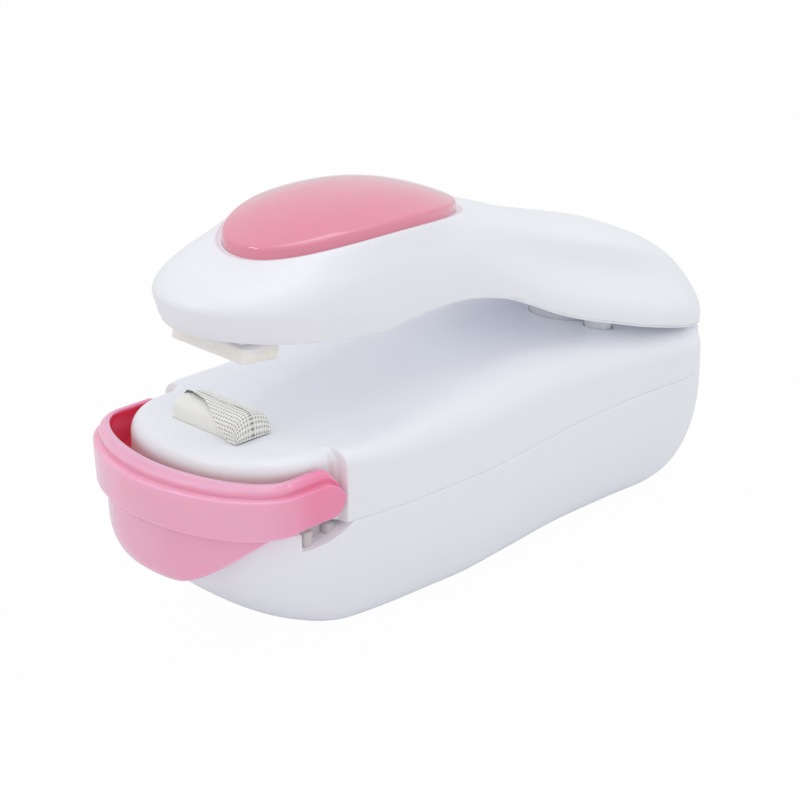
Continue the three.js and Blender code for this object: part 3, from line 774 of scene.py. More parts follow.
@dataclass(frozen=True)
class Moulded:
    """Injection-moulded plastic: even colour with faint flow marks, long waves and a fine skin."""

    name: str
    colour: Colour
    rich: Colour
    roughness: float = 0.25
    skin: float = 0.004
    skin_size: float = 0.35
    skin_rough: float = 0.08
    flow: float = 16.0
    flow_rough: float = 0.06
    flow_stretch: Triple = (1.0, 2.4, 1.0)
    wave: float = 0.02
    wave_size: float = 9.0
    coat: float = 0.0
    scatter: float = 0.0
    scatter_reach: Triple = (1.0, 1.0, 1.0)
    gloss: float = 0.5

    def material(self) -> bpy.types.Material:
        """Makes the material.

        Returns:
            The material.
        """
        graph = Graph(bpy.data.materials.new(self.name))
        flow = graph.noise(self.flow, detail=2.0, stretch=self.flow_stretch)
        speck = graph.noise(self.skin_size, detail=1.0)
        waves = graph.bump(graph.noise(self.wave_size, detail=1.0), self.wave)
        return graph.surface(
            Base_Color=graph.mix(self.colour, self.rich, flow.between(0.3, 0.72)),
            Roughness=self.roughness + (speck - 0.5) * self.skin_rough + (flow - 0.5) * self.flow_rough,
            Normal=graph.bump(speck, self.skin, waves),
            Specular_IOR_Level=self.gloss,
            Coat_Weight=self.coat,
            Coat_Roughness=0.06,
            Subsurface_Weight=self.scatter,
            Subsurface_Radius=self.scatter_reach,
            Subsurface_Scale=METRES,
        )


@dataclass(frozen=True)
class TintedPlastic:
    """Translucent pink plastic, with its inner side painted a deeper, darker red that stands in for the
    light bouncing between its walls.

    The painted inner side lies within a rounded plan, given by round, half, reach and corner, and between
    the foot and the brim. Towards the ears the outer side turns from colour to rich.
    """

    name: str = "pink_guard"
    colour: Colour = (0.98, 0.47, 0.62)
    rich: Colour = (0.94, 0.28, 0.45)
    # painted bounce light: the deeper, darker red given to the inner side
    painted_bounce: Colour = (0.87, 0.055, 0.13)
    round: float = 1.86
    half: float = 17.85
    reach: float = 9.55
    corner: float = -39.8
    foot: Span = (19.0, 19.8)
    brim: Span = (26.2, 26.7)
    ears: Span = (-47.0, -35.0)
    ear_share: float = 0.8
    flow: float = 14.0
    flow_share: float = 0.3
    wave: float = 0.015
    wave_size: float = 7.0
    skin_size: float = 0.3
    roughness: float = 0.13

    @staticmethod
    def across(place: Wire, span: Span) -> Wire:
        """Share of the way over a span in millimetres."""
        return place.between(span[0] * METRES, span[1] * METRES)

    def inside(self, split: Made) -> Wire:
        """Share by which a place lies on the inner side, which is painted the deeper red of bounce light.

        Args:
            split: Node that gives the place's X, Y and Z.

        Returns:
            1 on the inner side and 0 outside.
        """
        side = abs(split.out("X")) * (1 / (self.half * METRES))
        ahead = (self.corner * METRES - split.out("Y")).larger(0.0) * (1 / (self.reach * METRES))
        plan = 1 - (side**self.round + ahead**self.round).between(0.94, 1.0)
        height = split.out("Z")
        return plan * self.across(height, self.foot) * (1 - self.across(height, self.brim))

    def material(self) -> bpy.types.Material:
        """Makes the material.

        Returns:
            The material.
        """
        graph = Graph(bpy.data.materials.new(self.name))
        place = graph.add("ShaderNodeTexCoord").out("Object")
        split = graph.add("ShaderNodeSeparateXYZ", {}, {0: place})
        flow = graph.noise(self.flow, detail=2.0)
        speck = graph.noise(self.skin_size, detail=1.0)
        thick = self.across(split.out("Y"), self.ears) * self.ear_share
        ripe = (flow.between(0.3, 0.7) * self.flow_share + thick).between(0.0, 1.0)
        outer = graph.mix(self.colour, self.rich, ripe)
        return graph.surface(
            # painted bounce light: the inner side is mixed towards the deeper red
            Base_Color=graph.mix(outer, self.painted_bounce, self.inside(split)),
            Roughness=self.roughness + (speck - 0.5) * 0.03,
            Normal=graph.bump(graph.noise(self.wave_size, detail=1.0), self.wave),
            Specular_IOR_Level=0.45,
            Coat_Weight=0.4,
            Coat_Roughness=0.04,
            Subsurface_Weight=0.7,
            Subsurface_Radius=(2.8, 0.8, 1.1),
            Subsurface_Scale=METRES,
        )


@dataclass(frozen=True)
class Silicone:
    """Cast silicone rubber with a fine matt skin."""

    name: str = "silicone"
    colour: Colour = (0.91, 0.885, 0.82)
    pale: Colour = (0.94, 0.925, 0.885)
    roughness: float = 0.5
    skin: float = 0.01
    skin_size: float = 0.15
    cloud_size: float = 3.0

    def material(self) -> bpy.types.Material:
        """Makes the material.

        Returns:
            The material.
        """
        graph = Graph(bpy.data.materials.new(self.name))
        cloud = graph.noise(self.cloud_size, detail=3.0)
        speck = graph.noise(self.skin_size, detail=2.0)
        return graph.surface(
            Base_Color=graph.mix(self.colour, self.pale, cloud.between(0.35, 0.65)),
            Roughness=self.roughness + (speck - 0.5) * 0.2,
            Normal=graph.bump(speck, self.skin),
            Specular_IOR_Level=0.4,
            Subsurface_Weight=0.5,
            Subsurface_Radius=(1.2, 0.9, 0.6),
            Subsurface_Scale=METRES,
        )


@dataclass(frozen=True)
class GlassCloth:
    """Coated woven glass cloth: pale beads of thread with painted shade in the low points between them, dark
    where the wire shows through its gaps.
    """

    name: str = "glass_cloth"
    thread: Colour = (0.96, 0.955, 0.90)
    # painted shade: colour of the weave's low points between the threads
    gap: Colour = (0.30, 0.29, 0.24)
    wire: Colour = (0.06, 0.055, 0.05)
    hidden: float = 0.75
    roughness: float = 0.42
    fibre: float = 0.006
    fibre_size: float = 0.06
    fibre_stretch: Triple = (1.0, 4.0, 1.0)

    def material(self) -> bpy.types.Material:
        """Makes the material.

        Returns:
            The material.
        """
        graph = Graph(bpy.data.materials.new(self.name))
        height = graph.attribute(THREAD_HEIGHT)
        track = graph.attribute(WIRE_TRACK)
        # painted shade: the weave's low points are mixed towards the dark gap colour
        thread = graph.mix(self.gap, self.thread, height.between(0.15, 0.6))
        shown = track * (1 - height.between(0.45, 0.85) * self.hidden)
        fibre = graph.noise(self.fibre_size, detail=1.0, stretch=self.fibre_stretch)
        return graph.surface(
            Base_Color=graph.mix(thread, self.wire, shown),
            Roughness=self.roughness + (fibre - 0.5) * 0.3,
            Normal=graph.bump(fibre, self.fibre),
            Subsurface_Weight=0.25,
            Subsurface_Radius=(0.5, 0.5, 0.4),
            Subsurface_Scale=METRES,
        )


@dataclass(frozen=True)
class Metal:
    """Drawn or stamped metal with fine lines along the working direction."""

    name: str
    colour: Colour
    dull: Colour
    roughness: float = 0.28
    line: float = 0.004
    line_size: float = 0.12
    line_stretch: Triple = (12.0, 1.0, 1.0)
    cloud_size: float = 2.5

    def material(self) -> bpy.types.Material:
        """Makes the material.

        Returns:
            The material.
        """
        graph = Graph(bpy.data.materials.new(self.name))
        lines = graph.noise(self.line_size, detail=2.0, stretch=self.line_stretch)
        cloud = graph.noise(self.cloud_size, detail=3.0)
        return graph.surface(
            Base_Color=graph.mix(self.colour, self.dull, cloud.between(0.35, 0.75)),
            Metallic=1.0,
            Roughness=self.roughness + (lines - 0.5) * 0.2,
            Normal=graph.bump(lines, self.line),
        )


Finish = Moulded | TintedPlastic | Silicone | GlassCloth | Metal

WHITE_SHELL = Moulded("white_shell", (0.89, 0.893, 0.93), (0.88, 0.884, 0.923), roughness=0.35, scatter=0.12)
WHITE_INNER = Moulded("white_inner", (0.88, 0.885, 0.92), (0.87, 0.875, 0.91), roughness=0.45, skin=0.01)
# Painted shade: the white ribs and back wall inside the ear slots take a grey that stands in for the shade
# in the slots.
SLOT_SHADE = Moulded("slot_painted_shade", (0.64, 0.61, 0.61), (0.70, 0.67, 0.67), roughness=0.5, skin=0.01)
PINK_GUARD = TintedPlastic()
PINK_PAD = Moulded(
    "pink_pad", (0.84, 0.29, 0.385), (0.82, 0.275, 0.37), roughness=0.1, scatter=0.35, coat=0.9
)
CERAMIC = Moulded(
    "ceramic", (0.93, 0.92, 0.87), (0.91, 0.90, 0.845), roughness=0.4, skin=0.012, skin_size=0.12
)
CELL_WRAP = Moulded("cell_wrap", (0.05, 0.06, 0.08), (0.07, 0.08, 0.1), roughness=0.3)
LEAD_SLEEVE = Moulded("lead_sleeve", (0.45, 0.03, 0.03), (0.4, 0.03, 0.03), roughness=0.4)
SILICONE = Silicone()
GLASS_CLOTH = GlassCloth()
STEEL = Metal("spring_steel", (0.60, 0.60, 0.62), (0.48, 0.48, 0.5))
DARK_WIRE = Metal("heating_alloy", (0.24, 0.22, 0.21), (0.14, 0.13, 0.13), roughness=0.4)
BRASS = Metal("contact_brass", (0.78, 0.60, 0.28), (0.62, 0.46, 0.2))


class Paintbox:
    """Makes each finish once and gives it to the pieces that share it."""

    def __init__(self) -> None:
        """Starts with nothing made."""
        self.made: dict[str, bpy.types.Material] = {}

    def paint(self, piece: bpy.types.Object, finish: Finish) -> None:
        """Gives a piece its finish.

        Args:
            piece: Object to dress.
            finish: Finish to give it.
        """
        if finish.name not in self.made:
            self.made[finish.name] = finish.material()
        if piece.material_slots:
            for place in piece.material_slots:
                place.material = self.made[finish.name]
        else:
            piece.data.materials.append(self.made[finish.name])

    def mount(self, piece: bpy.types.Object, body: Body, slot: Slot, finish: Finish, *nodes: str) -> None:
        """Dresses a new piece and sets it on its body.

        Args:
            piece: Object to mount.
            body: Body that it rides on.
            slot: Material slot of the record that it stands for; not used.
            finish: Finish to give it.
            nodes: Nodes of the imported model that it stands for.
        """
        self.paint(piece, finish)
        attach(piece, body.value)
        if nodes:
            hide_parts(*nodes)
        log.info("%s: %d points on %s", piece.name, len(piece.data.vertices), body.value)


# Base


@dataclass
class Base:
    """Lower shell, deck and battery door.

    Sizes that start with foot say how far the flat foot stands in from the parting line, and how long its
    caps are. The rows of tongue give inset and rise over the rim, and parting() gives the line's height.
    """

    paintbox: Paintbox
    nose: float = -46.2
    nose_cap: float = 12.2
    rear_cap: float = 13.0
    wall: float = 1.6
    nose_width: float = 16.3
    shoulder: float = -30.4
    nose_round: float = 2.4
    rear_round: float = 2.5
    gap: float = 0.03
    line_height: float = 18.2
    line_slope: float = 0.007
    side_round: float = 2.3
    bow_round: float = 1.8
    foot_side: float = 9.0
    foot_bow: float = 18.2
    foot_rear: float = 11.0
    foot_nose_cap: float = 8.0
    foot_rear_cap: float = 4.0
    inner_bow: float = 6.0
    tongue: Rows = (
        (0.02, -0.1), (0.06, -0.04), (0.12, 0), (0.75, 0), (0.78, 0.75), (0.9, 0.85), (1.5, 0.85),
    )
    tongue_inside: float = 0.7
    slot_front: float = -37.1
    slot_rear: float = -28.8
    slot_ramp: float = 0.15
    slot_floor: Knots = Knots((-37.1, 15.6), (-35.5, 15.7), (-33, 16.1), (-31, 16.9), (-28.8, 18.4))
    width: Knots = Knots(
        (-46.2, 17), (-40, 17.3), (-34, 18.1), (-27, 19.3), (-17, 20), (-6, 20), (5, 18.8), (20, 16.9),
        (33, 16.5), (42, 17.1), (51.25, 17.5),
    )
    deck_height: Knots = Knots(
        (-46, 28), (-36, 28.3), (-22, 28.4), (-10, 29.6), (0, 30.2), (9, 30.0), (18, 29.2), (26, 28.2),
        (34, 27), (42, 25.9), (48, 24.9), (51, 24.2),
    )
    round_in: Knots = Knots((-46, 2.5), (-30, 2.5), (-18, 4.4), (0, 7), (20, 6.5), (35, 5.2), (51, 3.2))
    round_down: Knots = Knots(
        (-46, 2.4), (-30, 2.2), (-15, 4), (0, 5.4), (12, 5.2), (26, 4.6), (40, 3.4), (51, 2.4)
    )
    deck_nose: float = -45.7
    deck_nose_round: float = 2.12
    deck_lip: float = 0.15
    ear_in: float = 6.4
    ear_out: float = 8.8
    ear_radius: float = 3.2
    ear_foot: float = 23.0
    hinge_bore: float = 1.55
    spring_seat: float = 23.9
    cup_radius: float = 6.0
    cup_bore: float = 4.95
    spigot_radius: float = 2.2
    plunger_seat: float = 24.3
    guide_radius: float = 4.1
    guide_bore: float = 2.25
    plunger_hole: float = 1.95
    front_screws: Rows = ((-11.5, -22.5), (11.5, -22.5))
    rear_screw: Span = (0.0, 45.6)
    post_radius: float = 3.1
    head_radius: float = 2.5
    shaft_radius: float = 1.45
    door_inset: float = 5.1
    door_front: float = -15.4
    door_rear: float = 40.3
    door_cap: float = 4.0
    door_round: float = 5.0
    door_depth: float = 6.6
    door_gap: float = 0.25
    grip: float = 4.6
    grip_steps: tuple[float, ...] = (-2, -0.8, 0.4, 1.6, 2.8)

    def __post_init__(self) -> None:
        """Sets the stations, close together at the ear slot and at the shoulder."""
        slot = (self.slot_front + np.linspace(-0.2, 0.2, 6) - self.nose) / self.nose_cap
        run = REAR_Y - self.rear_cap - self.nose - self.nose_cap
        near = np.concatenate([np.linspace(-30.9, -29.9, 15), [-29.6, -29.3, -29.0]])
        shoulder = (near - self.nose - self.nose_cap) / run
        self.stations = Stations.spread(34, 92, 26, self.nose_round, self.rear_round, slot, shoulder)

    def parting(self, y: np.ndarray) -> np.ndarray:
        """Height of the line between the two shells."""
        return self.line_height + self.line_slope * (y + 30)

    def narrow(self, y: np.ndarray) -> np.ndarray:
        """Half-width inside, which also clears the guard's arms at the nose."""
        return np.minimum(self.width(y), self.nose_width + np.maximum(0, y - self.shoulder))

    def hull_half(
        self, share: np.ndarray | float, inset: float, nose_inset: float, inside: bool = False
    ) -> np.ndarray:
        """Half outline of the hull at shares of its height.

        Args:
            share: Share of the height, one for each station or one for all.
            inset: How far it stands in from the outside.
            nose_inset: How far it stands in at the nose.
            inside: True for the hollow.

        Returns:
            Rows of x and y.
        """
        share = np.broadcast_to(share, self.stations.share.shape)
        side = rounded_inset(self.foot_side, share, self.side_round)
        bow = rounded_inset(self.foot_bow - nose_inset * 0.8, share, self.bow_round)
        width = self.narrow if inside else self.width
        return self.stations.outline(
            nose=self.nose + nose_inset + bow,
            rear=REAR_Y - inset - rounded_inset(self.foot_rear, share, self.side_round),
            nose_cap=self.foot_nose_cap + (self.nose_cap - self.foot_nose_cap) * share - nose_inset,
            rear_cap=self.rear_cap - inset - rounded_inset(self.foot_rear_cap, share, 2),
            width=lambda y: width(y) - inset - side,
            nose_round=self.nose_round,
            rear_round=self.rear_round,
        )

    def rim(self) -> tuple[np.ndarray, np.ndarray]:
        """Top of the hull.

        Returns:
            Height of the rim at each station, and 1 where the ear slot is cut, otherwise 0.
        """
        y = self.hull_half(1.0, 0, 0)[:, 1]
        full = self.parting(y)
        inside = smooth_share(y, self.slot_front - self.slot_ramp, self.slot_front + self.slot_ramp)
        drop = np.where(y < self.slot_rear, full - np.minimum(self.slot_floor(y), full), 0) * inside
        return full - drop, (drop > 0.02).astype(float)

    def side_shares(self, count: int) -> np.ndarray:
        """Shares of the hull's height, close together near the foot."""
        return 1 - np.cos(np.linspace(0, math.pi / 2, count)) ** (2 / self.side_round)

    def hull_rings(self) -> list[np.ndarray]:
        """Rings of the hull's shell.

        Returns:
            Rings up the outside, over the rim with its tongue and down the inside.
        """
        top, slotted = self.rim()
        limit = top / self.parting(self.hull_half(1.0, 0, 0)[:, 1])
        rim_share = 0.2 / 18
        rings = []
        for share in self.side_shares(46):
            level = share * (limit - rim_share)
            half = self.hull_half(level, 0, 0)
            rings.append(lifted(half, level * self.parting(half[:, 1])))
        standing = 1 - slotted
        for inset, rise in self.tongue:
            lift = rise * standing if rise > 0 else rise
            rings.append(lifted(self.hull_half(limit, inset, inset), top + lift))
        half = self.hull_half(limit, self.wall, self.wall)
        rings.append(lifted(half, top + self.tongue_inside * standing))
        for share in np.linspace(1, 0, 12) ** 1.4:
            level = share * (limit - 0.03)
            half = self.hull_half(level, self.wall, self.inner_bow, inside=True)
            rings.append(lifted(half, self.wall + level * (self.parting(half[:, 1]) - self.wall)))
        return rings

    def hull_block(self) -> bpy.types.Object:
        """Hull without its hollow, a little inside the outer skin.

        Returns:
            The solid.
        """
        shy = 0.05
        rings = []
        for share in self.side_shares(24):
            half = self.hull_half(share, shy, shy)
            rings.append(lifted(half, shy + share * (self.parting(half[:, 1]) - shy)))
        return lofted(rings).piece("hull_block")

    def door_prism(self, clear: float) -> bpy.types.Object:
        """Upright solid on the plan of the battery door.

        Args:
            clear: How far it is drawn in.

        Returns:
            The solid.
        """
        half = Stations.spread(10, 40, 10, self.door_round, self.door_round).outline(
            nose=self.door_front + clear,
            rear=self.door_rear - clear,
            nose_cap=self.door_cap,
            rear_cap=self.door_cap,
            width=lambda y: self.width(y) - self.door_inset - clear,
            nose_round=self.door_round,
            rear_round=self.door_round,
        )
        return lofted([lifted(half, -1.0), lifted(half, self.door_depth - clear)]).piece("door_prism")

    def lower_shell(self) -> bpy.types.Object:
        """Hull with its door opening and the screws' posts, wells and shafts.

        Returns:
            The shell.
        """
        shell = lofted(self.hull_rings()).piece("lower_shell")
        screws = [*self.front_screws, self.rear_screw]
        posts = []
        for x, y in screws:
            post = bar("z", self.post_radius, -0.5, 15.5, x, y).piece("post")
            posts.append(combined(post, Cut.KEEP, self.hull_block()))
        combined(shell, Cut.JOIN, *posts)
        wells = [bar("z", self.head_radius, -1, 12, x, y).piece("well") for x, y in screws]
        shafts = [bar("z", self.shaft_radius, 11, 18, x, y).piece("shaft") for x, y in screws]
        combined(shell, Cut.AWAY, self.door_prism(0), *wells, *shafts)
        return smoothed(shell)

    def slot_ribs(self) -> bpy.types.Object:
        """Upright ribs and the wall behind them that show inside the two ear slots.

        Returns:
            The ribs of both sides in one piece.
        """
        made = None
        thick = 0.85
        for side in (-1, 1):
            back = sorted([side * 14.4, side * 15.3])
            across = sorted([side * 15.1, side * 16.75])
            blocks = [boxed((back[0], -37.6, 14.6), (back[1], -28.4, 17.9), 0.3).piece("slot_ribs")]
            for y in (-35.3, -31.3):
                low, high = (across[0], y - thick, 14.8), (across[1], y + thick, 17.8)
                blocks.append(boxed(low, high, 0.7).piece("rib"))
            whole = combined(blocks[0], Cut.JOIN, *blocks[1:])
            made = combined(made, Cut.JOIN, whole) if made else whole
        return smoothed(made)

    def battery_door(self) -> bpy.types.Object:
        """Door cut from the hull's own skin, with a finger grip.

        Returns:
            The door.
        """
        door = lofted(self.hull_rings()).piece("battery_door_panel")
        combined(door, Cut.KEEP, self.door_prism(self.door_gap))
        y = self.door_front + self.grip
        grips = [bar("x", 0.45, -4.5, 4.5, y + step, 0.0, 16).piece("grip") for step in self.grip_steps]
        combined(door, Cut.AWAY, *grips)
        return smoothed(door)

    def deck_width(self, y: np.ndarray) -> np.ndarray:
        """Half-width of the deck, with the step behind the guard's ears."""
        share = smooth_share(y, self.shoulder - 0.2, self.shoulder + 0.25)
        return self.nose_width + (self.width(y) - self.nose_width) * share

    def deck_half(self, angle: float, inset: float, inside: bool = False) -> np.ndarray:
        """Half outline of the deck at an angle of its rounded edge.

        Args:
            angle: Degrees, 0 at the side and 90 on top.
            inset: How far it stands in from the outside.
            inside: True for the hollow.

        Returns:
            Rows of x and y.
        """
        inward = 1 - math.cos(math.radians(angle))
        width = self.narrow if inside else self.deck_width
        return self.stations.outline(
            nose=self.deck_nose + inset + self.round_in(self.nose) * inward,
            rear=REAR_Y - inset - self.round_in(REAR_Y) * inward,
            nose_cap=self.nose_cap - inset - self.round_in(self.nose) * inward,
            rear_cap=self.rear_cap - inset - self.round_in(REAR_Y) * inward,
            width=lambda y: width(y) - inset - self.round_in(y) * inward,
            nose_round=self.deck_nose_round,
            rear_round=self.rear_round,
        )

    def deck_level(self, y: np.ndarray, angle: float, wall: float) -> np.ndarray:
        """Height of the deck at an angle of its rounded edge."""
        return self.deck_height(y) - wall - self.round_down(y) * (1 - math.sin(math.radians(angle)))

    def upper_shell(self) -> bpy.types.Object:
        """Deck with the nose platform, the heater's pocket, hinge ears and spring seat.

        Returns:
            The shell.
        """
        rings = []
        for angle in (90, 60, 30, 0):
            half = self.deck_half(angle, self.wall, inside=True)
            rings.append(lifted(half, self.deck_level(half[:, 1], angle, self.wall)))
        for inset, rise in [(1.6, 0.25), (1.55, 0.0), (0.15, 0.0), (0.05, 0.05), (0.0, self.deck_lip)]:
            inner = inset > 1.5
            half = self.deck_half(0, inset, inside=inner)
            rings.append(lifted(half, self.parting(half[:, 1]) + self.gap + rise + float(inner)))
        half = self.deck_half(0, 0)
        foot = self.parting(half[:, 1]) + self.gap + self.deck_lip
        for share in np.linspace(0, 1, 10)[1:]:
            rings.append(lifted(half, foot + (self.deck_level(half[:, 1], 0, 0) - foot) * share))
        for angle in np.linspace(0, 90, 23)[1:]:
            half = self.deck_half(angle, 0)
            rings.append(lifted(half, self.deck_level(half[:, 1], angle, 0)))
        deck = Patchwork().grid(np.array(rings), closed=True).cap(rings[0], up=False)
        deck.across(half, lambda x, y: self.deck_height(y), 14)
        return smoothed(self.fitted_deck(deck.piece("deck")))

    def hinge_ears(self) -> list[bpy.types.Object]:
        """Two ears that hold the hinge pin.

        Returns:
            The block and the round end of each ear.
        """
        ears = []
        for side in (-1, 1):
            left, right = sorted([side * self.ear_in, side * self.ear_out])
            low = (left, HINGE_Y - self.ear_radius, self.ear_foot)
            high = (right, HINGE_Y + self.ear_radius, HINGE_Z)
            ears.append(boxed(low, high).piece("ear"))
            ears.append(bar("x", self.ear_radius, left, right, HINGE_Y, HINGE_Z).piece("ear"))
        return ears

    def fitted_deck(self, shell: bpy.types.Object) -> bpy.types.Object:
        """Adds the hinge ears and cuts the heater's pocket, the plunger's hole and the spring's seat.

        Args:
            shell: Plain deck.

        Returns:
            The deck.
        """
        ears = self.hinge_ears()
        seat, cup_top, above = self.spring_seat, 26.8, 33
        linings = [
            bar("z", self.cup_radius, seat - 1.5, cup_top, 0, SPRING_Y).piece("cup"),
            bar("z", self.guide_radius, 22.4, cup_top, PLUNGER_X, PLUNGER_Y).piece("guide"),
            boxed((-13.8, 36.4, 22.9), (13.8, 47.6, 24.7), 1).piece("lining"),
        ]
        combined(shell, Cut.JOIN, *linings)
        cuts = [
            boxed((-7.5, -38.5, 24), (6.3, -33.05, above), 0.5).piece("pocket"),
            boxed((-12.3, 37.6, 24.4), (12.3, 46.4, above), 1.2).piece("trough"),
            bar("z", self.cup_bore, seat, above, 0, SPRING_Y).piece("well"),
            bar("z", self.guide_bore, self.plunger_seat, above, PLUNGER_X, PLUNGER_Y).piece("well"),
            bar("z", self.plunger_hole, 20, 28, PLUNGER_X, PLUNGER_Y).piece("hole"),
        ]
        combined(shell, Cut.AWAY, *cuts)
        spigot = bar("z", self.spigot_radius, seat - 0.5, seat + 1.7, 0, SPRING_Y).piece("spigot")
        combined(shell, Cut.JOIN, *ears, spigot)
        return combined(shell, Cut.AWAY, bar("x", self.hinge_bore, -10, 10, HINGE_Y, HINGE_Z).piece("bore"))

    def build(self) -> None:
        """Makes and dresses the base."""
        box = self.paintbox
        box.mount(self.lower_shell(), Body.BASE, Slot.WHITE_SHELL, WHITE_SHELL, "base_lower_shell")
        # painted shade: the ribs and wall inside the ear slots are grey for the shade that falls there
        box.mount(self.slot_ribs(), Body.BASE, Slot.WHITE_SHELL, SLOT_SHADE)
        box.mount(self.upper_shell(), Body.BASE, Slot.WHITE_SHELL, WHITE_SHELL, "base_upper_shell")
        box.mount(self.battery_door(), Body.DOOR, Slot.WHITE_SHELL, WHITE_SHELL, "battery_door")


# Arm


@dataclass
class Arm:
    """Moulded arm with its skirt, the domed oval, the spring's sleeve and the pressing pad.

    The shapes are drawn lower than the arm stands, and opened() turns them about the hinge. Sizes that end
    in back say how much an outline loses from its widest line to the crown. The rows give share of depth and
    growth for the moat, share of size and level for the thumb's pad, inset and height for the pressing pad,
    and radius and height for the sleeve.
    """

    paintbox: Paintbox
    nose: float = -45.7
    wall: float = 1.6
    nose_cap: float = 15.0
    rear_cap: float = 13.0
    rear_round: float = 2.5
    nose_back: float = 9.0
    rear_back: float = 6.5
    nose_cap_back: float = 6.0
    rear_cap_back: float = 4.0
    skirt_nose: float = -44.2
    skirt_cap: float = 0.6
    skirt_lean: float = 0.36
    skirt_least: float = 1.2
    side_angle: float = 26.0
    side_least: float = 9.0
    oval_y: float = -15.9
    oval_z: float = 47.7
    oval_half: float = 11.0
    oval_reach: float = 19.1
    oval_tilt: float = 4.5
    oval_arch: float = 2.15
    oval_round: float = 2.15
    moat: float = 0.95
    moat_depth: float = 0.3
    shore_level: float = 0.15
    floor_level: float = -1.9
    bowl_wall: float = 3.2
    bowl_slope: float = 0.079
    split_y: float = 6.0
    moat_steps: Rows = (
        (0.02, 0.92), (0.08, 0.87), (0.2, 0.8), (0.4, 0.71), (0.62, 0.62), (0.82, 0.46), (0.95, 0.24),
        (1.0, 0.03),
    )
    pad_steps: Rows = (
        (0.9, -1.6), (0.985, -1.5), (0.999, -1.35), (1, -1), (1, 0), (1, 0.85), (0.9995, 1.02),
        (0.9975, 1.18), (0.993, 1.32), (0.986, 1.43), (0.976, 1.52), (0.963, 1.6), (0.946, 1.68),
        (0.92, 1.79), (0.88, 1.96), (0.83, 2.17), (0.77, 2.41), (0.7, 2.66), (0.62, 2.91), (0.53, 3.14),
        (0.43, 3.33), (0.33, 3.47), (0.22, 3.56), (0.1, 3.6), (0.03, 3.61),
    )
    press_low: Span = (-7.4, -39.2)
    press_high: Span = (7.4, -32.6)
    press_corner: float = 0.55
    press_steps: Rows = (
        (0.3, 31.2), (0.12, 31.23), (0.03, 31.32), (0, 31.45), (0, 32.18), (0.05, 32.24), (0.09, 32.3),
        (0.05, 32.36), (0, 32.42), (0, 33.0), (0.1, 33.2),
    )
    sleeve_steps: Rows = ((4.3, 30.4), (4.3, 25.8), (4.38, 25.65), (4.62, 25.65), (4.72, 25.8), (4.72, 30.4))
    width: Knots = Knots(
        (-45.7, 12.8), (-33, 13.6), (-22, 14.2), (-6, 13.8), (8, 13.9), (20, 15), (33, 16.4), (42, 17),
        (51.25, 17.1),
    )
    edge: Knots = Knots(
        (-45.7, 34.6), (-33, 34.5), (-20, 34.3), (-13, 35.6), (-4, 36.7), (3, 36), (9.5, 34.1), (14, 32.4),
        (20, 30.6), (26, 29.3), (33, 27.9), (41, 26.8), (51.25, 25.8),
    )
    skirt: Knots = Knots((-45.7, 3.8), (-20, 3.4), (-6, 1.6), (6, 1.2), (51.25, 1.2))
    crown: Knots = Knots(
        (-45.7, 41), (-42, 42.3), (-38.5, 43.4), (-35.5, 44.3), (-30, 46.1), (-24, 48.2), (-16, 49.8),
        (-7, 49.4), (0, 48.3), (6.8, 46.8), (12, 45.6), (17, 44.2), (25, 42.5), (30, 41.5), (36, 40.2),
        (41.3, 38.5), (47, 36.3), (51.25, 34),
    )
    boxing: Knots = Knots((-45.7, 0.9), (-30, 0.75), (-16, 0.65), (0, 0.75), (12, 0.92), (51.25, 0.92))
    hollow: Knots = Knots((-45.7, 0), (-4, 0), (6, 0.08), (16, 0.155), (30, 0.175), (42, 0.1), (51.25, 0))

    def __post_init__(self) -> None:
        """Sets the stations along the arm."""
        self.stations = Stations.spread(34, 96, 28, rear_round=self.rear_round)

    def half(self, angle: float, wall: float = 0.0) -> np.ndarray:
        """Half outline at an angle of the section.

        Args:
            angle: Degrees, 0 at the widest line and 90 on the crown.
            wall: How far it lies inside.

        Returns:
            Rows of x and y.
        """
        across = math.cos(math.radians(angle))
        inward = 1 - across
        hollow = math.sin(math.radians(3 * min(angle, 60))) ** 2
        return self.stations.outline(
            nose=self.nose + wall + self.nose_back * inward,
            rear=REAR_Y - wall - self.rear_back * inward,
            nose_cap=self.nose_cap - wall - self.nose_cap_back * inward,
            rear_cap=self.rear_cap - wall - self.rear_cap_back * inward,
            width=lambda y: (self.width(y) - wall) * (across ** self.boxing(y) - self.hollow(y) * hollow),
            rear_round=self.rear_round,
        )

    def level(self, y: np.ndarray, angle: float, wall: float = 0.0) -> np.ndarray:
        """Height at an angle of the section."""
        low = self.edge(y) + self.skirt(y)
        return low + (self.crown(y) - wall - low) * math.sin(math.radians(angle)) ** self.boxing(y)

    def half_width(self, across: np.ndarray, y: np.ndarray, wall: float) -> np.ndarray:
        """Half-width of the section's outline at y.

        Args:
            across: Cosine of the section's angle.
            y: Places along the arm.
            wall: How far the surface lies inside.

        Returns:
            Half-widths, 0 beyond the ends.
        """
        inward = 1 - across
        hollow = np.sin(3 * np.minimum(np.arccos(np.clip(across, 0, 1)), math.pi / 3)) ** 2
        nose = self.nose + wall + self.nose_back * inward
        rear = REAR_Y - wall - self.rear_back * inward
        nose_cap = self.nose_cap - wall - self.nose_cap_back * inward
        rear_cap = self.rear_cap - wall - self.rear_cap_back * inward
        u = np.clip((y - nose) / nose_cap, 0, 1)
        v = np.clip((y - rear + rear_cap) / rear_cap, 0, 1)
        closing = np.sqrt(1 - (1 - u) ** 2) * (1 - v**self.rear_round) ** (1 / self.rear_round)
        return (self.width(y) - wall) * (across ** self.boxing(y) - self.hollow(y) * hollow) * closing

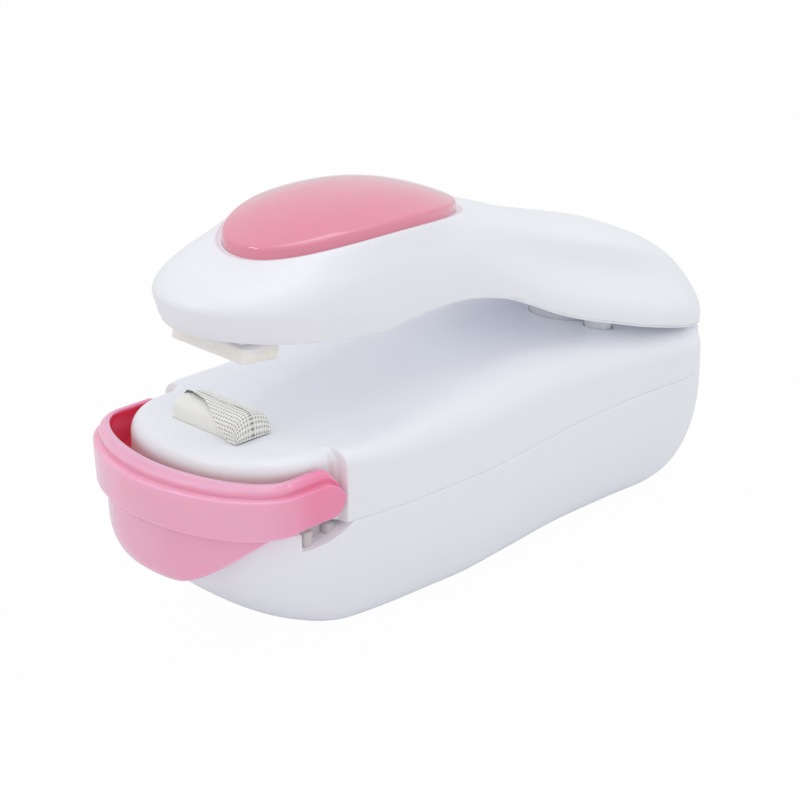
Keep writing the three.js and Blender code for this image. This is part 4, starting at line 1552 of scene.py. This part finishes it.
    def height(self, x: np.ndarray, y: np.ndarray, wall: float = 0.0) -> np.ndarray:
        """Height of the arm's surface over places in the plan, found by halving steps.

        Args:
            x: Places across.
            y: Places along.
            wall: How far the surface lies inside.

        Returns:
            Heights.
        """
        halvings = 44
        low, high = np.zeros_like(y, float), np.ones_like(y, float)
        for _ in range(halvings):
            middle = (low + high) / 2
            wide = self.half_width(middle, y, wall) > np.abs(x)
            high = np.where(wide, middle, high)
            low = np.where(wide, low, middle)
        foot = self.edge(y) + self.skirt(y)
        rise = (1 - high**2) ** (self.boxing(y) / 2)
        return foot + (self.crown(y) - wall - foot) * rise

    def skirt_half(self, wall: float, share: float = 0.0) -> np.ndarray:
        """Half outline of the skirt, drawn in towards its lower edge.

        Args:
            wall: How far it lies inside.
            share: Share of the skirt's height, 0 at its lower edge.

        Returns:
            Rows of x and y.
        """
        lean = 1 - share
        drawn_in = self.skirt_lean * lean
        return self.stations.outline(
            nose=self.nose + (self.skirt_nose - self.nose) * lean + wall,
            rear=REAR_Y - wall,
            nose_cap=self.nose_cap - self.skirt_cap * lean - wall,
            rear_cap=self.rear_cap - wall,
            width=lambda y: self.width(y) - wall - drawn_in * (self.skirt(y) - self.skirt_least),
            rear_round=self.rear_round,
        )

    def oval_ring(
        self, grow: float, turn: np.ndarray, level: float | np.ndarray = 0.0, share: float = 1.0
    ) -> np.ndarray:
        """Half of an outline of the oval in place on the arm.

        Args:
            grow: How far it lies outside the oval.
            turn: Angles round the oval, 0 at its front tip and half a turn at its rear tip.
            level: Height above the oval's rim.
            share: Share of the oval's size.

        Returns:
            Rows of x, y and z.
        """
        power = 2 / self.oval_round
        x = (self.oval_half + grow) * share * np.abs(np.sin(turn)) ** power
        y = -(self.oval_reach + grow) * share * np.sign(np.cos(turn)) * np.abs(np.cos(turn)) ** power
        z = level - self.oval_arch * (y / self.oval_reach) ** 2
        tilt = math.radians(self.oval_tilt)
        x[0] = x[-1] = 0
        tilted_y = self.oval_y + y * math.cos(tilt) - z * math.sin(tilt)
        tilted_z = self.oval_z + y * math.sin(tilt) + z * math.cos(tilt)
        return np.stack([x, tilted_y, tilted_z], axis=1)

    def beside(self, half: np.ndarray, y: float) -> int:
        """Number of the point on the side of a half outline that lies nearest to y."""
        return int(np.argmin(np.where(half[:, 0] < self.side_least, np.inf, np.abs(half[:, 1] - y))))

    def oval_turns(self, rim: np.ndarray) -> np.ndarray:
        """Angles round the oval that face the points of the half outline that surrounds it.

        Args:
            rim: Half outline as rows of x and y.

        Returns:
            One angle for each point.
        """
        fine = np.linspace(0, math.pi, 2001)
        oval = self.oval_ring(self.moat, fine)[:, :2]
        run, oval_run = run_along(rim), run_along(oval)
        pairs = [(0.0, 0.0)]
        for y in (-31.0, -23.0, -15.0, -6.0):
            pairs.append((run[self.beside(rim, y)], oval_run[int(np.argmin(np.abs(oval[:, 1] - y)))]))
        pairs.append((run[-1], oval_run[-1]))
        return np.interp(Knots(*pairs)(run), oval_run, fine)

    def cover(self) -> bpy.types.Object:
        """Hollow shell of the arm with the recess for the oval.

        Returns:
            The shell.
        """
        made = Patchwork()
        half = self.skirt_half(self.wall)
        rings = [lifted(half, self.edge(half[:, 1]) + 0.15)]
        for angle in (0, 10, 20, self.side_angle):
            half = self.half(angle, self.wall)
            rings.insert(0, lifted(half, self.level(half[:, 1], angle, self.wall)))
        made.across(self.half(self.side_angle, self.wall), self.ceiling, 10)
        for inset, rise in [(1.5, 0.0), (0.45, 0.0), (0.2, 0.08), (0.06, 0.24), (0.0, 0.45)]:
            half = self.skirt_half(inset)
            rings.append(lifted(half, self.edge(half[:, 1]) + rise))
        for share in (0.3, 0.5, 0.7, 0.85, 0.93, 0.97):
            half = self.skirt_half(0.0, share)
            rings.append(lifted(half, self.edge(half[:, 1]) + self.skirt(half[:, 1]) * share))
        for angle in np.maximum(self.side_angle * np.linspace(0.0, 1, 18) ** 1.25, 0.8):
            half = self.half(angle)
            rings.append(lifted(half, self.level(half[:, 1], angle)))
        made.grid(np.array(rings), closed=True)
        side = self.half(self.side_angle)
        split, steps = self.beside(side, self.split_y), 20
        made.across(side[split:], self.height, steps)
        beam = np.linspace(1, 0, steps + 1)[1:]
        cross = np.column_stack([side[split, 0] * beam, np.full(steps, side[split, 1])])
        self.lay_recess(made, np.concatenate([side[: split + 1], cross]))
        return smoothed(made.piece("arm_shell", opened), 40)

    def ceiling(self, x: np.ndarray, y: np.ndarray) -> np.ndarray:
        """Height of the hollow's ceiling, which stays under the oval's recess.

        Args:
            x: Places across.
            y: Places along.

        Returns:
            Heights.
        """
        bowl = self.oval_z + self.floor_level - self.bowl_wall + self.bowl_slope * (y - self.oval_y)
        bowl = np.where(np.abs(y - self.oval_y) < self.oval_reach + 3, bowl, 99)
        return np.minimum(self.height(x, y, self.wall), bowl)

    def lay_recess(self, made: Patchwork, rim: np.ndarray) -> None:
        """Covers the top between an outline and the oval, with the moat and the floor of the recess.

        Args:
            made: Patchwork to add to.
            rim: Half outline that the new surface starts from.
        """
        turns = self.oval_turns(rim)
        shore = self.oval_ring(self.moat, turns, self.shore_level)
        rise = shore[:, 2] - self.height(shore[:, 0], shore[:, 1])
        log.info("oval's shore %.2f to %.2f mm above the arm's own curve", rise.min(), rise.max())
        rows = []
        for share in np.linspace(0, 1, 44) ** 0.9:
            half = rim + (shore[:, :2] - rim) * share
            swell = rise * share**2 * (3 - 2 * share)
            rows.append(lifted(half, self.height(half[:, 0], half[:, 1]) + swell))
        for depth_share, grow in self.moat_steps:
            half = self.oval_ring(grow, turns, self.shore_level - self.moat_depth * depth_share)
            rows.append(lifted(half[:, :2], half[:, 2]))
        for grow, lift, share in [(0.03, 0.15, 1.0), (0.02, 0.0, 1.0), (0.0, 0.0, 0.7), (0.0, 0.0, 0.3)]:
            half = self.oval_ring(grow, turns, self.floor_level + lift, share)
            rows.append(lifted(half[:, :2], half[:, 2]))
        made.grid(np.array(rows), closed=True).cap(rows[-1], up=True)

    def thumb_pad(self) -> bpy.types.Object:
        """Domed oval with an upright side and a rounded shoulder.

        Returns:
            The oval.
        """
        turns = np.linspace(0, math.pi, 121)
        rings = []
        for share, level in self.pad_steps:
            half = self.oval_ring(0.0, turns, level, share)
            rings.append(lifted(half[:, :2], half[:, 2]))
        return smoothed(lofted(rings).piece("oval_pad", opened), 50)

    def pressure_pad(self) -> bpy.types.Object:
        """Silicone block with rounded edges under the nose.

        Returns:
            The block.
        """
        rings = []
        for inset, z in self.press_steps:
            left, front = (value + inset for value in self.press_low)
            right, back = (value - inset for value in self.press_high)
            corners = [(left, front), (right, front), (right, back), (left, back)]
            loop = rounded_path(corners, [self.press_corner] * 4, 8)
            rings.append(np.column_stack([loop, np.full(len(loop), z)]))
        return smoothed(swept(np.array(rings)).piece("silicone_block", opened), 50)

    def spring_sleeve(self) -> bpy.types.Object:
        """Short tube under the arm that keeps the return spring in place."""
        rings = turned(self.sleeve_steps, 72) + [0, SPRING_Y, 0]
        return smoothed(Patchwork().grid(rings, closed=True).piece("spring_sleeve", opened), 40)

    def build(self) -> None:
        """Makes and dresses the arm."""
        box = self.paintbox
        box.mount(self.spring_sleeve(), Body.ARM, Slot.WHITE_INNER, WHITE_INNER)
        box.mount(self.cover(), Body.ARM, Slot.WHITE_SHELL, WHITE_SHELL, "arm_cover")
        box.mount(self.thumb_pad(), Body.ARM, Slot.PINK_PAD, PINK_PAD, "thumb_pad")
        box.mount(self.pressure_pad(), Body.ARM, Slot.SILICONE, SILICONE, "pressure_pad")


# Guard


@dataclass
class Guard:
    """Pink cover round the nose: a lip, a proud band and a shield, on two ears.

    The band's lower edge rises between rise_from and rise_to along Y, by ear_rise at the ears.
    """

    paintbox: Paintbox
    pivot_y: float = -34.0
    pivot_z: float = 22.3
    half: float = 19.3
    reach: float = 17.05
    wall: float = 1.5
    round: float = 1.86
    corner_y: float = -39.8
    ear_rise: float = 0.75
    ear_middle: float = 22.5
    rise_from: float = -48.0
    rise_to: float = -35.0
    rise_span: float = 6.25
    pin_end: float = 14.2
    pin_radius: float = 1.5
    boss_radius: float = 3.0
    low: float = 19.05
    crease: float = 25.0
    high: float = 26.8
    ear: float = 3.3
    shield_half: float = 18.6
    shield_end: float = 16.6
    shield_round: float = 2.05
    shield_power: float = 3.5
    shield_reach: float = 16.15
    shield_bottom: float = 9.9
    shield_turn: float = 5.0
    shield_rise: float = 0.0315

    def section(self) -> np.ndarray:
        """Closed section of the band and lip.

        Returns:
            Rows of side inset, front inset and height.
        """
        wall, low, crease, high = self.wall, self.low, self.crease, self.high
        corners = [
            (1.5, 2.3, high), (0.72, 1.0, high - 0.65), (1.05, 1.35, crease + 0.08),
            (0.0, 0.0, crease - 0.02), (0.25, 0.45, low), (wall + 0.6, wall + 1.2, low),
            (wall + 0.3, wall + 0.6, crease), (wall + 0.7, wall + 1.7, high),
        ]
        return rounded_path(corners, [0.3, 0.6, 0.25, 0.4, 0.4, 0.3, 0.6, 0.25], 6)

    def band(self) -> bpy.types.Object:
        """Band and lip swept from one ear round the nose to the other.

        Returns:
            The solid.
        """
        section = self.section()
        side, front, z = section.T
        power = 2 / self.round
        reach = self.reach - self.pivot_y + self.corner_y - front
        half_path = []
        for share in np.sin(np.linspace(math.pi / 2, 0, 20))[:-1]:
            half_path.append(self.ear_section(section, share * self.ear * 0.995))
        for y in np.linspace(self.pivot_y, self.corner_y, 12)[:-1]:
            half_path.append(self.raised(np.stack([self.half - side, np.full(len(z), y), z], axis=1)))
        for turn in np.linspace(math.pi / 2, 0, 100):
            x = (self.half - side) * math.sin(turn) ** power
            y = self.corner_y - reach * math.cos(turn) ** power
            half_path.append(self.raised(np.stack([x, y, z], axis=1)))
        right = np.array(half_path)
        left = right[-2::-1] * [-1, 1, 1]
        return swept(np.concatenate([right, left])).piece("guard_cover")

    def raised(self, points: np.ndarray) -> np.ndarray:
        """Lifts the band's lower edge towards the ears.

        Args:
            points: Points of the band.

        Returns:
            The lifted points.
        """
        share = smooth_share(points[:, 1], self.rise_from, self.rise_to)
        share = share * np.clip((self.crease - points[:, 2]) / self.rise_span, 0, 1)
        return points + np.outer(share, [0, 0, self.ear_rise])

    def ear_section(self, section: np.ndarray, back: float) -> np.ndarray:
        """Section of an ear behind the pivot, lower the further back it stands.

        Args:
            section: Section of the band.
            back: How far behind the pivot it stands.

        Returns:
            Points of the section.
        """
        side, _, z = section.T
        points = self.raised(np.stack([self.half - side, np.full(len(z), self.pivot_y), z], axis=1))
        share = back / self.ear
        upper, lower = (1 - share**1.6) ** 0.75, (1 - share**3) ** 0.5
        squeeze = np.where(points[:, 2] > self.ear_middle, upper, lower)
        points[:, 2] = self.ear_middle + (points[:, 2] - self.ear_middle) * squeeze
        points[:, 1] += back
        return points

    def shield_point(self, turn: np.ndarray, z: np.ndarray, inset: float) -> np.ndarray:
        """Points of the shield's skin.

        Args:
            turn: Angles round the nose.
            z: Heights.
            inset: How far the skin lies inside.

        Returns:
            Rows of x, y and z.
        """
        depth = np.clip((self.low - z) / (self.low - self.shield_bottom), 0, 1)
        inward = inset + self.shield_turn * (1 - (1 - depth**self.shield_power) ** (1 / self.shield_power))
        power = 2 / self.shield_round
        x = (self.shield_half - inward) * np.sign(turn) * np.abs(np.sin(turn)) ** power
        y = self.pivot_y - (self.shield_reach - inward) * np.cos(turn) ** power
        return np.stack([x, y, z], axis=1)

    def shield(self) -> bpy.types.Object:
        """Thin shield under the band, whose free edge is a parabola.

        Returns:
            The solid.
        """
        reach = math.asin((self.shield_end / self.shield_half) ** (self.shield_round / 2))
        turns = np.linspace(-reach, reach, 161)
        edge = np.full(len(turns), 14.0)
        for _ in range(12):
            across = self.shield_point(turns, edge, 0.0)[:, 0]
            edge = np.minimum(self.shield_bottom + 0.02 + self.shield_rise * across**2, self.low)
        foot, top = 0.3, self.low + 1.0
        wall = self.wall - 0.1
        sections = []
        for share in np.linspace(1, 0, 40) ** 1.2:
            sections.append(self.shield_point(turns, edge + foot + (top - edge - foot) * share, 0.0))
        for inset, rise in [(0.1, 0.12), (0.35, 0.0), (wall - 0.35, 0.0), (wall - 0.1, 0.12)]:
            sections.append(self.shield_point(turns, edge + rise, inset))
        for share in np.linspace(0, 1, 24) ** 1.2:
            sections.append(self.shield_point(turns, edge + foot + (top - edge - foot) * share, wall))
        return swept(np.array(sections).transpose(1, 0, 2)).piece("shield")

    def build(self) -> None:
        """Makes and dresses the guard."""
        cover = combined(self.band(), Cut.JOIN, self.shield())
        pins = []
        for side in (-1, 1):
            start, end = sorted([side * (self.half - 1), side * self.pin_end])
            pins.append(bar("x", self.pin_radius, start, end, self.pivot_y, self.pivot_z).piece("pin"))
            start, end = sorted([side * (self.half - self.wall + 0.3), side * (self.half - self.wall - 0.5)])
            pins.append(bar("x", self.boss_radius, start, end, self.pivot_y, self.pivot_z).piece("boss"))
        combined(cover, Cut.JOIN, *pins)
        smoothed(cover, 40)
        self.paintbox.mount(cover, Body.GUARD, Slot.PINK_GUARD, PINK_GUARD, "guard")


# Heater


@dataclass
class Heater:
    """Ceramic bar in the nose, the woven cloth over its crest and the wire beneath the cloth.

    The rows of end_steps give the inset at distances from the bar's end, those of wire_path X and Z.
    """

    paintbox: Paintbox
    x: float = -0.9
    y: float = -35.8
    half: float = 6.5
    depth: float = 2.6
    top: float = 31.3
    arch: float = 1.5
    foot: float = 25.5
    end_steps: Rows = ((0.35, 0.0), (0.12, 0.08), (0, 0.35))
    pitch: float = 0.52
    relief: float = 0.18
    cloth_margin: float = 0.62
    cloth_foot: float = 28.4
    cloth_back: float = -0.06
    cloth_overhang: float = 3.2
    wire_radius: float = 0.17
    wire_path: Rows = (
        (-7.1, 26.2), (-7.1, 29.6), (-6.95, 30.7), (-6.3, 31.45), (-5.4, 31.56), (-3.6, 31.56),
    )

    def profile(self, margin: float, low: float, count: int) -> np.ndarray:
        """Side view of the bar from its front foot over the crest to its rear foot, evenly spaced.

        Args:
            margin: How far it lies outside the bar.
            low: Height of its feet.
            count: Number of points.

        Returns:
            Rows of y and z.
        """
        spring = self.top - self.arch
        angle = np.linspace(math.pi, 0, 61)
        arc_y = self.y + (self.depth + margin) * np.cos(angle)
        arc_z = spring + (self.arch + margin) * np.sin(angle)
        arc = np.stack([arc_y, arc_z], axis=1)
        path = np.concatenate([[[arc[0, 0], low]], arc, [[arc[-1, 0], low]]])
        run = run_along(path)
        even = np.linspace(0, run[-1], count)
        return np.stack([np.interp(even, run, path[:, k]) for k in (0, 1)], axis=1)

    def block(self) -> bpy.types.Object:
        """Ceramic bar with softened ends.

        Returns:
            The bar.
        """
        count = 60
        left = [(inset, step - self.half) for inset, step in self.end_steps]
        right = [(inset, self.half - step) for inset, step in reversed(self.end_steps)]
        sections = []
        for inset, x in left + right:
            line = self.profile(-inset, self.foot, count)
            sections.append(np.column_stack([np.full(count, self.x + x), line]))
        return smoothed(swept(np.array(sections)[::-1]).piece("heater_bar"), 40)

    def cloth(self) -> bpy.types.Object:
        """Woven sleeve over the crest and the right end, with each thread raised and sunk by the weave.

        Returns:
            The sleeve.
        """
        line = self.profile(self.cloth_margin, self.cloth_foot, 600)
        along = run_along(line)
        tangent = np.gradient(line, axis=0)
        outward = np.stack([-tangent[:, 1], tangent[:, 0]], axis=1)
        outward /= np.linalg.norm(outward, axis=1)[:, None]
        flat = np.linspace(self.x - self.half + 2.0, self.x + self.half - 0.25, 170)
        turn = np.linspace(0, 0.985, 46)[1:]
        bend = np.concatenate([np.zeros(len(flat)), turn]) * math.pi / 2
        across = np.concatenate([flat, np.full(len(turn), flat[-1])])
        share = np.clip((across - flat[0]) / (flat[-1] - flat[0]), 0, 1)
        slant = 0.425 * np.clip((share - 0.22) / 0.76, 0, 1) ** 1.25
        front = 0.455 - 0.03 * smooth_share(share, 0, 0.3) - slant
        run = along[-1] * (front[:, None] + (1 - front[:, None]) * np.linspace(0, 1, 220))
        sheet = [np.interp(run, along, values) for values in (*line.T, *outward.T)]
        reach = across + bend * 2 / math.pi * self.cloth_overhang
        height = self.weave(run / self.pitch, np.broadcast_to(reach[:, None], run.shape) / self.pitch)
        outer = self.cloth_face(sheet, across, bend, 0.02 + self.relief * height)
        inner = self.cloth_face(sheet, across, bend, np.full(run.shape, self.cloth_back))
        made = swept(np.concatenate([outer, inner[:, ::-1]], axis=1)).piece("woven_cloth")
        self.mark(made, outer, height, share, run / along[-1])
        return smoothed(made, 80)

    def cloth_face(
        self, sheet: Sequence[np.ndarray], across: np.ndarray, bend: np.ndarray, lift: np.ndarray
    ) -> np.ndarray:
        """One face of the cloth.

        Args:
            sheet: Y and Z of the cloth's middle and of its outward direction.
            across: Place of each row along X.
            bend: Angle by which each row is folded down over the bar's end.
            lift: How far the face lies off the middle.

        Returns:
            Points by row and column.
        """
        down, out = np.cos(bend)[:, None], np.sin(bend)[:, None]
        y = self.y + (sheet[0] + sheet[2] * lift - self.y) * (0.9 + 0.1 * down)
        z = self.cloth_foot + (sheet[1] + sheet[3] * lift - self.cloth_foot) * down**0.9
        x = across[:, None] + (0.95 + lift) * out**0.8
        return np.stack([np.broadcast_to(x, y.shape), y, z], axis=2)

    @staticmethod
    def weave(s: np.ndarray, x: np.ndarray) -> np.ndarray:
        """Height of a plain weave from 0 to 1.

        Args:
            s: Places across the threads that run along X, in threads.
            x: Places across the threads that run over the crest, in threads.

        Returns:
            Heights.
        """
        row, column = np.floor(s), np.floor(x)
        fullness = 0.8
        along = np.abs(np.sin(math.pi * s)) ** fullness * (0.5 + 0.5 * np.cos(math.pi * (x - 0.5 - row)))
        over = np.abs(np.sin(math.pi * x)) ** fullness * (0.5 + 0.5 * np.cos(math.pi * (s + 0.5 - column)))
        return np.maximum(along, over)

    @staticmethod
    def mark(
        made: bpy.types.Object, outer: np.ndarray, height: np.ndarray, share: np.ndarray, run: np.ndarray
    ) -> None:
        """Stores the thread's height and the wire's track on the cloth for its material.

        Args:
            made: The cloth.
            outer: Points of its outer face.
            height: Height of the weave at those points.
            share: Share of the bar's length for each row.
            run: Share of the side view's length for each point.
        """
        track = 0.5 + 0.012 * np.sin(9 * share) - 0.02 * smooth_share(share, 0.8, 1.0)
        near = 1 - smooth_share(np.abs(run - track[:, None]), 0.005, 0.016)
        near *= (0.4 + 0.6 * smooth_share(share, 0.0, 0.7))[:, None]
        points = outer.reshape(-1, 3) * METRES
        digits, elsewhere = 7, 0.3
        lookup = {tuple(np.round(p, digits)): i for i, p in enumerate(points)}
        found = [lookup.get(tuple(np.round(np.array(v.co, float), digits)), -1) for v in made.data.vertices]
        for name, values in ((THREAD_HEIGHT, height.ravel()), (WIRE_TRACK, near.ravel())):
            layer = made.data.attributes.new(name, "FLOAT", "POINT")
            layer.data.foreach_set("value", [float(values[i]) if i >= 0 else elsewhere for i in found])

    def wire(self) -> bpy.types.Object:
        """Bare end of the wire between the cloth and the deck."""
        path = np.array([(self.x + x, self.y, z) for x, z in self.wire_path])
        return smoothed(tube(path, self.wire_radius, 12).piece("heating_wire_end"), 60)

    def build(self) -> None:
        """Makes and dresses the heater."""
        box = self.paintbox
        box.mount(self.block(), Body.BASE, Slot.HEATER, CERAMIC, "heater_block")
        box.mount(self.cloth(), Body.BASE, Slot.CLOTH, GLASS_CLOTH, "glass_cloth")
        box.mount(self.wire(), Body.BASE, Slot.STEEL, DARK_WIRE, "heating_wire")


# Works


@dataclass
class Works:
    """Return spring, and the nodes that keep their own shape: cells, contacts, switch and fasteners."""

    paintbox: Paintbox
    coil_radius: float = 3.1
    coil_wire: float = 0.3
    coil_turns: int = 5
    coil_travel: float = 1.4
    finishes: dict[str, Finish] = field(
        default_factory=lambda: {
            "battery_cell": CELL_WRAP,
            "battery_contact": STEEL,
            "battery_spring": STEEL,
            "heater_terminal": BRASS,
            "heater_lead": LEAD_SLEEVE,
            "switch_plunger": WHITE_INNER,
            "switch_bridge": BRASS,
            "switch_strip": BRASS,
            "hinge_pin": STEEL,
            "base_screw": STEEL,
            "arm_screw": STEEL,
            "arm_underplate": WHITE_INNER,
        }
    )

    def return_spring(self) -> None:
        """Winds the return spring's coil between the deck and the arm, where the real spring shortens as the
        arm goes down.
        """
        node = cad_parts["return_spring"]
        levels = np.array([(node.matrix_world @ v.co).z for v in node.data.vertices]) / METRES
        low, high = levels.min() + self.coil_wire, levels.max() - self.coil_wire
        turn = np.linspace(0, self.coil_turns, 60 * self.coil_turns + 1)
        angle = turn * 2 * math.pi
        rise = low + (high - low) * np.clip((turn - 0.5) / (self.coil_turns - 1), 0, 1)
        outward = np.stack([np.cos(angle), np.sin(angle), np.zeros_like(angle)], axis=1)
        axis = np.stack([np.zeros_like(angle), np.full_like(angle, SPRING_Y), rise], axis=1)
        round_wire = np.linspace(0, 2 * math.pi, 12, endpoint=False)
        upward = np.outer(np.sin(round_wire), [0, 0, 1])
        sections = []
        for middle, out in zip(outward * self.coil_radius + axis, outward):
            sections.append(middle + self.coil_wire * (np.outer(np.cos(round_wire), out) + upward))
        coil = smoothed(swept(np.array(sections)).piece("coil_spring", opened), 60)
        self.paintbox.mount(coil, Body.BASE, Slot.STEEL, STEEL, "return_spring")
        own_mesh(coil)

    def build(self) -> None:
        """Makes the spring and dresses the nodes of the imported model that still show."""
        self.return_spring()
        for name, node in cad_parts.items():
            for start, finish in self.finishes.items():
                if name.startswith(start) and not node.hide_render:
                    self.paintbox.paint(node, finish)
                    log.info("%s: dressed as %s", name, finish.name)


# Studio


@dataclass
class Studio:
    """Floor, surround, soft lights and camera."""

    azimuth: float = 45.8
    elevation: float = 22.1
    distance: float = 454.3
    target: Triple = (0.0, -2.14, 22.66)
    focal: float = 142.4
    floor_level: float = -0.04
    floor_sides: int = 96
    floor_white: float = 0.965
    surround: float = 0.75
    aim: Triple = (0.0, 0.0, 0.025)

    def camera(self) -> None:
        """Sets the camera at the photograph's angle."""
        turn, rise = math.radians(self.azimuth), math.radians(self.elevation)
        back = Vector((math.sin(turn) * math.cos(rise), -math.cos(turn) * math.cos(rise), math.sin(rise)))
        data = bpy.data.cameras.new("camera")
        data.lens = self.focal
        data.sensor_width = 36
        data.clip_start, data.clip_end = 0.01, 20
        camera = bpy.data.objects.new("camera", data)
        camera.location = (Vector(self.target) + back * self.distance) * METRES
        camera.rotation_mode = "QUATERNION"
        camera.rotation_quaternion = (-back).to_track_quat("-Z", "Y")
        bpy.context.scene.collection.objects.link(camera)
        bpy.context.scene.camera = camera

    def light(
        self,
        name: str,
        toward: Triple,
        distance: float,
        size: Span,
        power: float,
        shaded: bool = True,
        tint: Colour = (1.0, 1.0, 1.0),
    ) -> None:
        """Adds a soft rectangular light that looks at the object.

        Args:
            name: Name of the light.
            toward: Direction from the object to the light.
            distance: Distance in metres.
            size: Width and height in metres.
            power: Power in watts.
            shaded: Whether the object throws a shadow from it.
            tint: Colour of the light.
        """
        data = bpy.data.lights.new(name, "AREA")
        data.shape = "RECTANGLE"
        data.size, data.size_y = size
        data.energy = power
        data.color = tint
        data.use_shadow = shaded
        lamp = bpy.data.objects.new(name, data)
        direction = Vector(toward).normalized()
        lamp.location = Vector(self.aim) + direction * distance
        lamp.rotation_mode = "QUATERNION"
        lamp.rotation_quaternion = (-direction).to_track_quat("-Z", "Y")
        bpy.context.scene.collection.objects.link(lamp)

    @staticmethod
    def seen_share(graph: Graph) -> Wire:
        """1 for rays that show a background: those of the camera and of clear pieces."""
        path = graph.add("ShaderNodeLightPath")
        return path.out("Is Camera Ray").larger(path.out("Is Transmission Ray"))

    def floor(self) -> None:
        """Lays a plain pale floor that keeps a faint shadow."""
        rings = turned([(radius, self.floor_level) for radius in (0.01, 900, 2600)], self.floor_sides)
        floor = Patchwork().grid(rings, closed=True)
        floor.faces.append(tuple(range(self.floor_sides)))
        piece = floor.piece("floor")
        graph = Graph(bpy.data.materials.new("floor"))
        shade = graph.noise(size=40.0, detail=2.0)
        colour = graph.mix((0.84, 0.84, 0.85), (0.85, 0.85, 0.86), shade)
        matt = graph.add("ShaderNodeBsdfDiffuse", {}, {"Color": colour}).out("BSDF")
        white = graph.add("ShaderNodeEmission", {}, {"Color": (1, 1, 1, 1), "Strength": 1.0}).out("Emission")
        share = self.seen_share(graph) * self.floor_white
        mixed = graph.add("ShaderNodeMixShader", {}, {0: share, 1: matt, 2: white}).out("Shader")
        graph.add("ShaderNodeOutputMaterial", {}, {"Surface": mixed})
        piece.data.materials.append(graph.owner)

    def world(self) -> None:
        """Sets an even white surround, which shows at full white and lights at a lower strength."""
        world = bpy.data.worlds.new("surround")
        bpy.context.scene.world = world
        graph = Graph(world)
        strength = self.surround + self.seen_share(graph) * (1 - self.surround)
        sky = graph.add("ShaderNodeBackground", {}, {"Color": (1, 1, 1, 1), "Strength": strength})
        graph.add("ShaderNodeOutputWorld", {}, {"Surface": sky.out("Background")})

    def build(self) -> None:
        """Makes the whole studio."""
        self.camera()
        self.floor()
        self.world()
        self.light("key", toward=(-0.36, -0.5, 0.78), distance=0.75, size=(0.2, 0.045), power=0.4)
        self.light("fill", toward=(0.9, -0.25, 0.5), distance=0.9, size=(0.4, 0.3), power=0.3)
        self.light("edge", toward=(0.36, 0.49, 0.79), distance=0.8, size=(0.24, 0.04), power=0.2)
        self.light(
            "lift", toward=(0.0, 0.1, 1.0), distance=0.8, size=(0.5, 0.5), power=1.25,
            shaded=False, tint=(0.80, 0.87, 1.0),
        )
        bpy.context.scene.view_settings.view_transform = "Standard"


def main() -> None:
    """Builds the sealer and its studio, and reports each piece."""
    logging.basicConfig(level=logging.INFO, format="%(name)s: %(message)s")
    paintbox = Paintbox()
    Studio().build()
    for part in (Base(paintbox), Arm(paintbox), Guard(paintbox), Heater(paintbox), Works(paintbox)):
        part.build()


if __name__ == "__main__":
    main()
